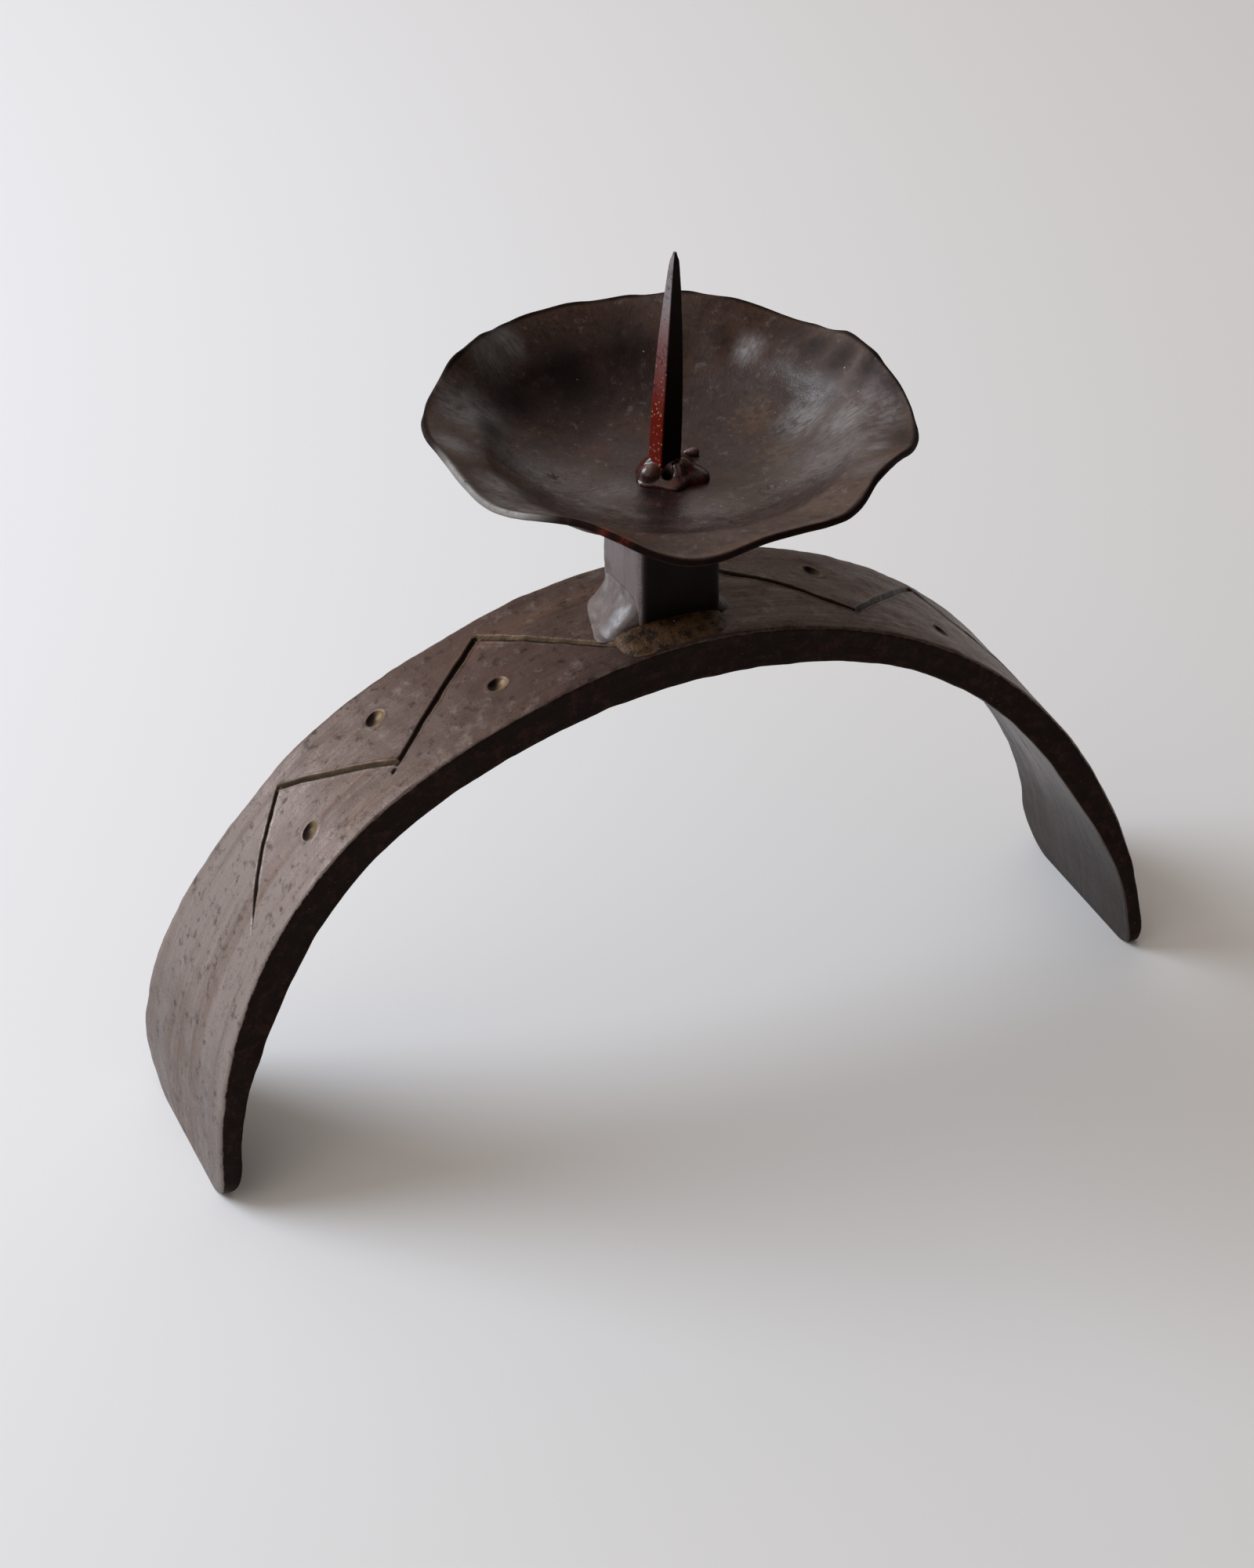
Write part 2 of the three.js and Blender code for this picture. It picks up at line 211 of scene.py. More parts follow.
def start_piece(name: str, add: Callable[..., set], **settings: object) -> bpy.types.Object:
    """Adds a primitive with nothing else selected, and leaves it in edit mode.

    Args:
        name: The piece's name.
        add: The operator that adds the primitive.
        settings: What the operator is told.

    Returns:
        The new piece.
    """
    bpy.ops.object.select_all(action="DESELECT")
    add(**settings)
    piece = bpy.context.object
    piece.name = name
    piece.data.name = name
    bpy.ops.object.mode_set(mode="EDIT")
    bpy.ops.mesh.select_mode(type="EDGE")
    return piece


def pick_edges(piece: bpy.types.Object, test: Callable[[Vector, Vector], bool]) -> int:
    """Selects, in edit mode, the edges whose two ends pass a test.

    Args:
        piece: The piece in edit mode.
        test: Takes the places of an edge's two ends, in metres.

    Returns:
        How many edges are selected.
    """
    bpy.ops.mesh.select_all(action="DESELECT")
    body = bmesh.from_edit_mesh(piece.data)
    found = [edge for edge in body.edges if test(edge.verts[0].co, edge.verts[1].co)]
    for edge in found:
        edge.select_set(True)
    body.select_flush_mode()
    bmesh.update_edit_mesh(piece.data)
    return len(found)


def runs_along(axis: int) -> Callable[[Vector, Vector], bool]:
    """A test for edges that run along an axis: 0, 1 or 2."""
    others = [k for k in range(3) if k != axis]
    return lambda a, b: all(abs(a[k] - b[k]) < 1e-7 for k in others)


def cut_along(piece: bpy.types.Object, axis: int, *cuts: int) -> None:
    """Cuts all edges that run along an axis into equal parts, once for each number given.

    Args:
        piece: The piece in edit mode.
        axis: The axis: 0, 1 or 2.
        cuts: How many cuts each round makes.
    """
    for number in cuts:
        pick_edges(piece, runs_along(axis))
        bpy.ops.mesh.subdivide(number_cuts=number)


def leave_edit(piece: bpy.types.Object) -> bpy.types.Object:
    """Goes back to object mode, with a piece's faces turned outwards.

    Args:
        piece: The piece in edit mode.

    Returns:
        The same piece.
    """
    bpy.ops.mesh.select_all(action="SELECT")
    bpy.ops.mesh.normals_make_consistent(inside=False)
    bpy.ops.object.mode_set(mode="OBJECT")
    return piece


def apply_modifier(piece: bpy.types.Object, kind: str, **settings: object) -> None:
    """Adds a modifier to a piece and applies it.

    Args:
        piece: The piece.
        kind: The modifier's type.
        settings: Its settings by name.
    """
    bpy.ops.object.select_all(action="DESELECT")
    piece.select_set(True)
    bpy.context.view_layer.objects.active = piece
    modifier = piece.modifiers.new(kind.title(), kind)
    for key, value in settings.items():
        setattr(modifier, key, value)
    bpy.ops.object.modifier_apply(modifier=modifier.name)


def smooth_shading(piece: bpy.types.Object, angle: float = 40) -> None:
    """Shades a piece smooth but for its sharp edges.

    Args:
        piece: The piece.
        angle: The angle in degrees past which an edge is sharp.
    """
    bpy.ops.object.select_all(action="DESELECT")
    piece.select_set(True)
    bpy.context.view_layer.objects.active = piece
    bpy.ops.object.shade_smooth_by_angle(angle=math.radians(angle))


class Slot(Enum):
    """The record's material slots."""

    BAR = "forged_bar"
    SHEET = "beaten_sheet"
    SPIKE = "spike_steel"
    WELD = "weld_metal"
    PUDDLE = "rusty_weld"


def hand_over(piece: bpy.types.Object, node: str, material: bpy.types.Material) -> None:
    """Gives a finished piece its material and its place in the frame.

    Args:
        piece: The finished piece.
        node: The CAD node that it stands for.
        material: Its material.
    """
    piece.data.materials.clear()
    piece.data.materials.append(material)
    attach(piece, "root")
    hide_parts(node)
    log.info("%s stands for %s, %d faces", piece.name, node, len(piece.data.polygons))


# Finishes


class Nodes:
    """A node tree, with short ways to add the nodes that work with numbers and colours."""

    def __init__(self, tree: bpy.types.NodeTree) -> None:
        """Takes the tree that the nodes go into."""
        self.tree = tree

    def feed(self, socket: Socket, value: object) -> None:
        """Links a socket to another, or sets its own value.

        Args:
            socket: The socket that takes the value.
            value: Another socket, a number, or a colour without its alpha.
        """
        if isinstance(value, bpy.types.NodeSocket):
            self.tree.links.new(value, socket)
        elif isinstance(value, tuple) and len(value) == 3 and socket.type == "RGBA":
            socket.default_value = (*value, 1)
        else:
            socket.default_value = value

    def vector_math(self, operation: str, vector: Socket, by: Triple) -> bpy.types.Node:
        """A vector put together with a constant one.

        Args:
            operation: Such as MULTIPLY or DOT_PRODUCT.
            vector: The vector.
            by: The constant.

        Returns:
            The node, since its output depends on the operation.
        """
        node = self.tree.nodes.new("ShaderNodeVectorMath")
        node.operation = operation
        self.feed(node.inputs[0], vector)
        node.inputs[1].default_value = by
        return node

    def axis(self, vector: Socket, name: str) -> Socket:
        """One axis of a vector.

        Args:
            vector: The vector.
            name: X, Y or Z.

        Returns:
            The axis's number.
        """
        node = self.tree.nodes.new("ShaderNodeSeparateXYZ")
        self.feed(node.inputs[0], vector)
        return node.outputs[name]

    def ramp(
        self, value: Socket, start: float, end: float, low: float = 0, high: float = 1
    ) -> Socket:
        """A value carried smoothly from low at start to high at end.

        Args:
            value: The value.
            start: Where it begins to change.
            end: Where it stops.
            low: The result up to start.
            high: The result from end.

        Returns:
            The result.
        """
        node = self.tree.nodes.new("ShaderNodeMapRange")
        node.interpolation_type = "SMOOTHSTEP"
        self.feed(node.inputs["Value"], value)
        limits = {"From Min": start, "From Max": end, "To Min": low, "To Max": high}
        for name, number in limits.items():
            node.inputs[name].default_value = number
        return node.outputs[0]

    def calc(self, operation: str, first: object, second: object) -> Socket:
        """Two numbers put together.

        Args:
            operation: Such as SUBTRACT or MAXIMUM.
            first: The first number or socket.
            second: The second one.

        Returns:
            The result.
        """
        node = self.tree.nodes.new("ShaderNodeMath")
        node.operation = operation
        self.feed(node.inputs[0], first)
        self.feed(node.inputs[1], second)
        return node.outputs[0]

    def times(self, first: object, second: object) -> Socket:
        """One number times another."""
        return self.calc("MULTIPLY", first, second)

    def plus(self, first: object, second: object) -> Socket:
        """One number added to another."""
        return self.calc("ADD", first, second)

    def mix(self, share: object, first: object, second: object, kind: str = "MIX") -> Socket:
        """A share of the way from the first colour to the second, or the second laid on it.

        Args:
            share: The share, from 0 to 1.
            first: The colour below.
            second: The colour laid on.
            kind: How it is laid on, such as ADD or MULTIPLY.

        Returns:
            The colour.
        """
        node = self.tree.nodes.new("ShaderNodeMix")
        node.data_type = "RGBA"
        node.blend_type = kind
        self.feed(node.inputs["Factor"], share)
        self.feed(node.inputs["A"], first)
        self.feed(node.inputs["B"], second)
        return node.outputs["Result"]


class Graph(Nodes):
    """The nodes of one material, laid over places in millimetres."""

    def __init__(self, name: str) -> None:
        """Starts a material with its shader alone.

        Args:
            name: The material's name.
        """
        self.material = bpy.data.materials.new(name)
        self.material.use_nodes = True
        super().__init__(self.material.node_tree)
        self.shader = self.tree.nodes["Principled BSDF"]
        place = self.tree.nodes.new("ShaderNodeTexCoord").outputs["Object"]
        self.place = self.scaled(place, (1 / MM,) * 3)

    def scaled(self, vector: Socket, by: Triple) -> Socket:
        """A vector with its axes scaled."""
        return self.vector_math("MULTIPLY", vector, by).outputs[0]

    def kept(self, name: str, output: str = "Fac") -> Socket:
        """What the piece keeps for each vertex under a name.

        Args:
            name: The attribute's name.
            output: Fac for a number, or Vector for a vector.

        Returns:
            The number or vector.
        """
        node = self.tree.nodes.new("ShaderNodeAttribute")
        node.attribute_name = name
        return node.outputs[output]

    def noise(
        self,
        size: float,
        vector: Socket | None = None,
        detail: float = 3,
        rough: float = 0.55,
        turn: float = 0,
    ) -> Socket:
        """Cloudy unevenness.

        Args:
            size: The size of its features, in millimetres or the vector's unit.
            vector: Where it is laid, or the place in millimetres.
            detail: How many finer layers it has.
            rough: How strong the finer layers are.
            turn: Moves the pattern, so that two aren't alike.

        Returns:
            Values from 0 to 1.
        """
        node = self.tree.nodes.new("ShaderNodeTexNoise")
        node.noise_dimensions = "4D"
        self.feed(node.inputs["Vector"], vector or self.place)
        node.inputs["W"].default_value = turn
        node.inputs["Scale"].default_value = 1 / size
        node.inputs["Detail"].default_value = detail
        node.inputs["Roughness"].default_value = rough
        return node.outputs["Fac"]

    def cells(self, size: float, vector: Socket | None = None) -> Socket:
        """The distance to the nearest of many scattered points, for pits and specks.

        Args:
            size: The distance between points, in millimetres or the vector's unit.
            vector: Where they are laid, or the place in millimetres.

        Returns:
            The distance, in points' distances.
        """
        node = self.tree.nodes.new("ShaderNodeTexVoronoi")
        self.feed(node.inputs["Vector"], vector or self.place)
        node.inputs["Scale"].default_value = 1 / size
        return node.outputs["Distance"]

    def relief(self, height: Socket, depth: float, below: Socket | None = None) -> Socket:
        """Fine relief, over another relief if there is one.

        Args:
            height: Its height, from 0 to 1.
            depth: How much 1 is, in millimetres.
            below: The other relief.

        Returns:
            The normal for the shader.
        """
        node = self.tree.nodes.new("ShaderNodeBump")
        self.feed(node.inputs["Height"], height)
        node.inputs["Distance"].default_value = depth * MM
        if below is not None:
            self.feed(node.inputs["Normal"], below)
        return node.outputs["Normal"]

    def finish(self, specular: float, **sockets: object) -> bpy.types.Material:
        """Sets the shader and gives the material.

        Args:
            specular: The shader's specular level.
            sockets: Its other sockets by name, with _ for a space.

        Returns:
            The material.
        """
        self.shader.inputs["Specular IOR Level"].default_value = specular
        for name, value in sockets.items():
            self.feed(self.shader.inputs[name.replace("_", " ")], value)
        return self.material


@dataclass(frozen=True)
class ForgedBar:
    """Fire scale on the bar: brown-black at the crown, grey on the legs, partly brushed and partly
    a painted sheen from the lamp.
    """

    crown: Colour = (0.072, 0.043, 0.036)
    haunch: Colour = (0.118, 0.086, 0.074)
    # The legs' grey is partly brushed steel and partly painted sheen of the lamp that they face
    leg: Colour = (0.226, 0.186, 0.171)
    foot: Colour = (0.15, 0.125, 0.115)
    brown: Colour = (0.115, 0.064, 0.043)
    side: Colour = (0.0105, 0.0045, 0.003)
    inner: Colour = (0.152, 0.137, 0.139)
    inner_shade: Colour = (0.042, 0.035, 0.034)
    worn: Colour = (0.24, 0.205, 0.18)
    groove: Colour = (0.009, 0.0045, 0.003)
    lit_wall: Colour = (0.29, 0.2, 0.115)
    side_brown: Colour = (0.034, 0.013, 0.008)
    haunch_from: tuple[float, float] = (40, 95)
    leg_from: tuple[float, float] = (84, 118)
    foot_from: tuple[float, float] = (148, 180)
    inner_shade_from: tuple[float, float] = (120, 185)
    wander: float = 46.0
    specular: float = 0.09

    def material(self, name: str) -> bpy.types.Material:
        """The bar's material. It reads the values that the arch keeps for each vertex.

        Args:
            name: The material's name.

        Returns:
            The material. Its colours change by the length from the crown.
        """
        g = Graph(name)
        flat = g.kept("flat", "Vector")
        streaks = g.noise(1, g.scaled(flat, (0.012, 0.32, 0.3)), detail=4, rough=0.6)
        bands = g.noise(1, g.scaled(flat, (0.008, 0.13, 0.1)), detail=3, turn=31)
        clouds = g.noise(13, detail=4, turn=3)
        mottle = g.noise(2.6, detail=4, rough=0.65, turn=7)
        grain = g.noise(0.45, detail=2, turn=11)
        wander = g.times(g.calc("SUBTRACT", clouds, 0.5), self.wander)
        station = g.plus(g.calc("ABSOLUTE", g.axis(flat, "X"), 0.0), wander)
        colour = g.mix(g.ramp(station, *self.haunch_from), self.crown, self.haunch)
        # Painted sheen: the paler leg colour partly stands in for the lamp's sheen on the legs
        colour = g.mix(g.ramp(station, *self.leg_from), colour, self.leg)
        colour = g.mix(g.ramp(station, *self.foot_from), colour, self.foot)
        colour = g.mix(g.ramp(bands, 0.5, 0.68, 0, 0.6), colour, self.brown)
        colour = g.mix(g.ramp(streaks, 0.52, 0.72, 0, 0.35), colour, self.crown)
        colour = g.mix(g.ramp(mottle, 0.52, 0.7, 0, 0.65), colour, self.side)
        rubbed = g.ramp(g.noise(5, detail=5, rough=0.7, turn=19), 0.52, 0.72, 0, 0.4)
        colour = g.mix(rubbed, colour, self.worn)
        rusty = g.ramp(g.noise(3.4, detail=5, rough=0.7, turn=37), 0.6, 0.72, 0, 0.45)
        colour = g.mix(rusty, colour, self.brown)
        colour = g.mix(g.ramp(grain, 0.54, 0.72, 0, 0.4), colour, self.crown)
        pits = g.ramp(g.noise(1.1, detail=3, turn=43), 0.64, 0.72)
        pits = g.times(pits, g.ramp(clouds, 0.4, 0.62, 0, 0.5))
        colour = g.mix(pits, colour, self.groove)
        outer = g.kept("outer")
        # Painted shade: the inner face goes darker towards the feet
        inner = g.mix(g.ramp(station, *self.inner_shade_from), self.inner, self.inner_shade)
        inner = g.mix(g.ramp(streaks, 0.45, 0.7, 0, 0.6), inner, self.inner_shade)
        colour = g.mix(g.ramp(outer, -0.55, -0.9), colour, inner)
        edge = g.plus(outer, g.ramp(mottle, 0.3, 0.7, -0.2, 0.2))
        onto_side = g.calc("SUBTRACT", g.ramp(edge, 0.62, 0.3), g.ramp(outer, -0.6, -0.85))
        flecks = g.ramp(g.cells(1.3), 0.16, 0.07)
        dark = g.mix(g.ramp(mottle, 0.48, 0.66, 0, 0.75), self.side, self.side_brown)
        few = g.ramp(g.noise(4, turn=23), 0.5, 0.7, 0, 0.4)
        dark = g.mix(g.times(flecks, few), dark, self.worn)
        colour = g.mix(onto_side, colour, dark)
        worn = g.ramp(g.noise(3.2, detail=4, turn=29), 0.42, 0.62, 0.1, 0.8)
        colour = g.mix(g.times(g.kept("worn"), worn), colour, self.worn)
        colour = g.mix(g.ramp(g.kept("carve"), 0.12, 0.5), colour, self.groove)
        colour = g.mix(g.kept("lit"), colour, self.lit_wall)
        rough = g.ramp(streaks, 0.3, 0.7, 0.34, 0.46)
        rough = g.plus(rough, g.ramp(grain, 0.3, 0.7, -0.04, 0.08))
        relief = g.relief(grain, 0.05, g.relief(mottle, 0.16, g.relief(streaks, 0.3)))
        return g.finish(
            self.specular,
            Base_Color=colour,
            Roughness=g.plus(rough, g.times(onto_side, 0.2)),
            Metallic=g.times(g.ramp(outer, 0.5, 0.9), 0.35),
            Normal=g.relief(g.calc("SUBTRACT", 1.0, pits), 0.15, relief),
        )


@dataclass(frozen=True)
class PostSteel:
    """The post's square bar: brushed scale, painted grey on the face towards the lamp and black on
    the faces in shade, as painted light and shade.
    """

    pale: Colour = (0.178, 0.15, 0.152)
    dark: Colour = (0.006, 0.003, 0.0022)
    brown: Colour = (0.05, 0.032, 0.022)
    worn: Colour = (0.3, 0.27, 0.25)
    specular: float = 0.07

    def material(self, name: str) -> bpy.types.Material:
        """The post's material. It reads the values that the post keeps for each vertex.

        Args:
            name: The material's name.

        Returns:
            The material.
        """
        g = Graph(name)
        clouds = g.noise(7, detail=4, turn=2)
        grain = g.noise(0.6, detail=3, turn=5)
        pull = g.noise(1, g.scaled(g.place, (0.5, 0.5, 0.09)), detail=4, turn=9)
        pale = g.kept("pale")
        # Painted light and shade: the pale value lightens the face towards the lamp, the other
        # faces stay dark
        colour = g.mix(pale, self.dark, self.pale)
        colour = g.mix(g.times(pale, g.ramp(clouds, 0.5, 0.75, 0, 0.5)), colour, self.brown)
        colour = g.mix(g.ramp(pull, 0.5, 0.75, 0, 0.35), colour, self.dark)
        colour = g.mix(g.times(g.kept("worn"), g.ramp(grain, 0.4, 0.6)), colour, self.worn)
        return g.finish(
            self.specular,
            Base_Color=colour,
            Roughness=g.ramp(clouds, 0.3, 0.7, 0.4, 0.55),
            Normal=g.relief(grain, 0.09, g.relief(pull, 0.2)),
        )


@dataclass(frozen=True)
class BeatenSheet:
    """The dish: waxed red-black scale, polished patches that are partly real and partly painted
    sheen and highlights, painted shade, rust and a worn edge.
    """

    scale: Colour = (0.026, 0.012, 0.0113)
    brown: Colour = (0.054, 0.0215, 0.0095)
    pit: Colour = (0.0058, 0.0017, 0.0013)
    burnished_sheen: Colour = (0.206, 0.201, 0.208)
    rust: Colour = (0.085, 0.052, 0.03)
    red: Colour = (0.26, 0.05, 0.03)
    rim: Colour = (0.009, 0.0035, 0.0025)
    lip_rust: Colour = (0.072, 0.034, 0.02)
    steel: Colour = (0.27, 0.26, 0.25)
    specular: float = 0.3

    def material(self, name: str) -> bpy.types.Material:
        """The dish's material. It reads the values that the dish keeps for each vertex.

        Args:
            name: The material's name.

        Returns:
            The material.
        """
        g = Graph(name)
        flat = g.kept("flat", "Vector")
        clouds = g.noise(15, detail=4, turn=1)
        mottle = g.noise(4.5, detail=5, rough=0.6, turn=4)
        fine = g.noise(1.7, detail=4, rough=0.65, turn=21)
        grain = g.noise(0.5, detail=3, turn=6)
        scrape = g.noise(1, g.scaled(flat, (0.3, 1.1, 0)), detail=5, rough=0.65, turn=8)
        lip = g.kept("lip")
        colour = g.mix(g.ramp(clouds, 0.45, 0.72, 0, 0.7), self.scale, self.brown)
        brown_lip = g.times(lip, g.ramp(scrape, 0.4, 0.7, 0.25, 0.9))
        colour = g.mix(brown_lip, colour, self.brown)
        colour = g.mix(g.ramp(mottle, 0.55, 0.7, 0, 0.6), colour, self.scale)
        colour = g.mix(g.ramp(fine, 0.5, 0.6, 0, 0.5), colour, self.pit)
        flecks = g.ramp(g.noise(2.3, detail=5, rough=0.7, turn=27), 0.56, 0.66, 0, 0.22)
        colour = g.mix(flecks, colour, self.burnished_sheen)
        # Polished patches, partly real and partly painted sheen and highlights where the lamp and
        # the bright room reflect
        burnish_and_sheen = g.times(g.kept("burnish_and_sheen"), g.ramp(scrape, 0.3, 0.62, 0.25, 1))
        burnish_and_sheen = g.times(burnish_and_sheen, g.ramp(mottle, 0.32, 0.55, 0.35, 1))
        colour = g.mix(burnish_and_sheen, colour, self.burnished_sheen)
        pits = g.ramp(g.noise(1.3, detail=4, turn=13), 0.68, 0.76, 0, 0.7)
        pits = g.calc("MAXIMUM", g.times(g.kept("pits"), g.ramp(fine, 0.47, 0.58)), pits)
        colour = g.mix(pits, colour, self.pit)
        rust = g.kept("rust")
        patchy = g.ramp(g.plus(g.times(rust, 0.14), fine), 0.53, 0.66, 0, 0.5)
        colour = g.mix(g.times(patchy, g.ramp(rust, 0.02, 0.25)), colour, self.rust)
        # Painted shade: the black marks darken the wall in the rim's shadow, the lit lip at the
        # right back, and the streak in front of the spike, which is also a painted reflection of
        # the spike
        black = g.kept("black")
        colour = g.mix(black, colour, self.pit)
        lip_rust = g.times(g.kept("lip_rust"), g.ramp(scrape, 0.35, 0.6, 0.3, 0.9))
        colour = g.mix(lip_rust, colour, self.lip_rust)
        rim = g.kept("rim")
        colour = g.mix(g.times(rim, 0.9), colour, self.rim)
        steel = g.ramp(g.noise(2.2, detail=4, turn=17), 0.2, 0.45, 0.3, 1)
        colour = g.mix(g.times(g.kept("steel"), steel), colour, self.steel)
        red = g.times(g.kept("red"), g.ramp(fine, 0.38, 0.55, 0.2, 1))
        colour = g.mix(red, colour, self.red)
        specks = g.times(g.ramp(g.cells(5), 0.06, 0.03), g.ramp(clouds, 0.4, 0.6, 0, 0.8))
        colour = g.mix(specks, colour, self.steel)
        rough = g.plus(g.ramp(clouds, 0.3, 0.7, 0.27, 0.34), g.ramp(mottle, 0.4, 0.7, -0.03, 0.1))
        rough = g.plus(rough, g.times(lip, 0.14))
        rough = g.calc("SUBTRACT", rough, g.times(g.kept("gloss"), 0.13))
        rough = g.plus(rough, g.times(black, 0.2))
        metal = g.calc("MAXIMUM", g.times(rim, 0.8), g.times(black, 0.4))
        relief = g.relief(fine, 0.07, g.relief(mottle, 0.14, g.relief(scrape, 0.06)))
        relief = g.relief(grain, 0.04, relief)
        return g.finish(
            self.specular,
            Base_Color=colour,
            Roughness=g.plus(rough, g.times(rim, 0.3)),
            Metallic=g.calc("MAXIMUM", metal, g.times(burnish_and_sheen, 0.6)),
            Normal=g.relief(g.calc("SUBTRACT", 1.0, pits), 0.08, relief),
        )


@dataclass(frozen=True)
class SpikeScale:
    """The spike: red-brown scale with glints at the foot, mauve and then grey steel at the tip."""

    red: Colour = (0.11, 0.0065, 0.002)
    mauve: Colour = (0.15, 0.066, 0.064)
    grey: Colour = (0.19, 0.17, 0.18)
    dark: Colour = (0.006, 0.0015, 0.0015)
    glint: Colour = (0.62, 0.3, 0.2)
    foot: float = 160.3
    tip: float = 216.8
    specular: float = 0.12

    def material(self, name: str) -> bpy.types.Material:
        """The spike's material, by height.

        Args:
            name: The material's name.

        Returns:
            The material.
        """
        g = Graph(name)
        height = g.axis(g.place, "Z")
        mottle = g.noise(2.2, detail=5, rough=0.65, turn=2)
        wander = g.plus(height, g.ramp(mottle, 0.2, 0.8, -3, 3))
        colour = g.mix(g.ramp(wander, self.foot + 14, self.foot + 36), self.red, self.mauve)
        colour = g.mix(g.ramp(wander, self.foot + 31, self.foot + 47), colour, self.grey)
        colour = g.mix(g.ramp(mottle, 0.52, 0.7, 0, 0.7), colour, self.dark)
        colour = g.mix(g.kept("shade"), colour, self.dark)
        bare = g.calc("SUBTRACT", 1.0, g.kept("shade"))
        low = g.ramp(height, self.tip - 12, self.foot + 18, 0.1, 0.8)
        glints = g.times(g.ramp(g.cells(1.1), 0.28, 0.14), g.ramp(g.noise(2, turn=5), 0.42, 0.56))
        glints = g.times(glints, g.times(bare, low))
        colour = g.mix(glints, colour, self.glint)
        return g.finish(
            self.specular,
            Base_Color=colour,
            Roughness=g.ramp(mottle, 0.3, 0.7, 0.42, 0.55),
            Metallic=g.times(glints, 0.5),
            Normal=g.relief(g.noise(0.5, detail=3, turn=7), 0.1, g.relief(mottle, 0.2)),
        )


@dataclass(frozen=True)
class WeldBead:
    """Weld metal: a film of one colour broken by a second, with bright specks.

    `speck` is how much of it the specks take, `gloss` its roughness at its smoothest, and
    `grain` and `swell` are the depths of its fine and its broad relief.
    """

    film: Colour
    second: Colour
    dark: Colour = (0.012, 0.007, 0.005)
    bright: Colour = (0.5, 0.44, 0.36)
    speck: float = 0.4
    gloss: float = 0.3
    grain: float = 0.12
    swell: float = 0.25
    specular: float = 0.5

    def material(self, name: str) -> bpy.types.Material:
        """The weld's material.

        Args:
            name: The material's name.

        Returns:
            The material.
        """
        g = Graph(name)
        clouds = g.noise(2.8, detail=5, rough=0.65, turn=3)
        grain = g.noise(0.55, detail=4, rough=0.6, turn=6)
        colour = g.mix(g.ramp(clouds, 0.42, 0.62), self.film, self.second)
        colour = g.mix(g.ramp(grain, 0.56, 0.7, 0, 0.85), colour, self.dark)
        specks = g.times(g.ramp(g.cells(1.2), 0.2, 0.1), g.ramp(clouds, 0.5, 0.6, 0, self.speck))
        colour = g.mix(specks, colour, self.bright)
        return g.finish(
            self.specular,
            Base_Color=colour,
            Roughness=g.ramp(clouds, 0.3, 0.7, self.gloss, self.gloss + 0.2),
            Metallic=g.times(specks, 0.7),
            Normal=g.relief(grain, self.grain, g.relief(clouds, self.swell)),
        )


@dataclass(frozen=True)
class PuddleMetal:
    """The glossy puddle: red-black glass-like scale, paler and greyer on its blobs, with a painted
    highlight beside the pinhole and painted shade in it.
    """

    film: Colour = (0.05, 0.008, 0.005)
    deep: Colour = (0.009, 0.0015, 0.001)
    pale: Colour = (0.125, 0.068, 0.062)
    hole: Colour = (0.002, 0.0004, 0.0003)
    specular: float = 0.55

    def material(self, name: str) -> bpy.types.Material:
        """The puddle's material. It reads the values that the puddle keeps for each vertex.

        Args:
            name: The material's name.

        Returns:
            The material.
        """
        g = Graph(name)
        clouds = g.noise(2.6, detail=5, rough=0.65, turn=3)
        grain = g.noise(0.6, detail=4, rough=0.6, turn=6)
        colour = g.mix(g.ramp(clouds, 0.4, 0.6), self.film, self.deep)
        pale = g.times(g.kept("pale"), g.ramp(grain, 0.3, 0.6, 0.6, 1))
        colour = g.mix(pale, colour, self.pale)
        # Painted shade: the pinhole is painted black, with its reflection put out
        hole = g.kept("hole")
        colour = g.mix(hole, colour, self.hole)
        return g.finish(
            self.specular,
            Base_Color=colour,
            Roughness=g.plus(g.ramp(clouds, 0.3, 0.7, 0.08, 0.16), g.times(hole, 0.5)),
            Metallic=hole,
            Normal=g.relief(grain, 0.05, g.relief(clouds, 0.16)),
        )


# The arch


@dataclass(frozen=True)
class Foot:
    """One side of a foot: its reach, its corner's rounding and the length it spreads over."""

    reach: float
    corner: float
    spread: float


@dataclass(frozen=True)
class Stroke:
    """One chisel stroke across the flat bar, from place to place, that runs out at its ends."""

    path: tuple[tuple[float, float], ...]
    width: float
    depth: float
    runs_out: tuple[float, float] = (1.5, 1.5)


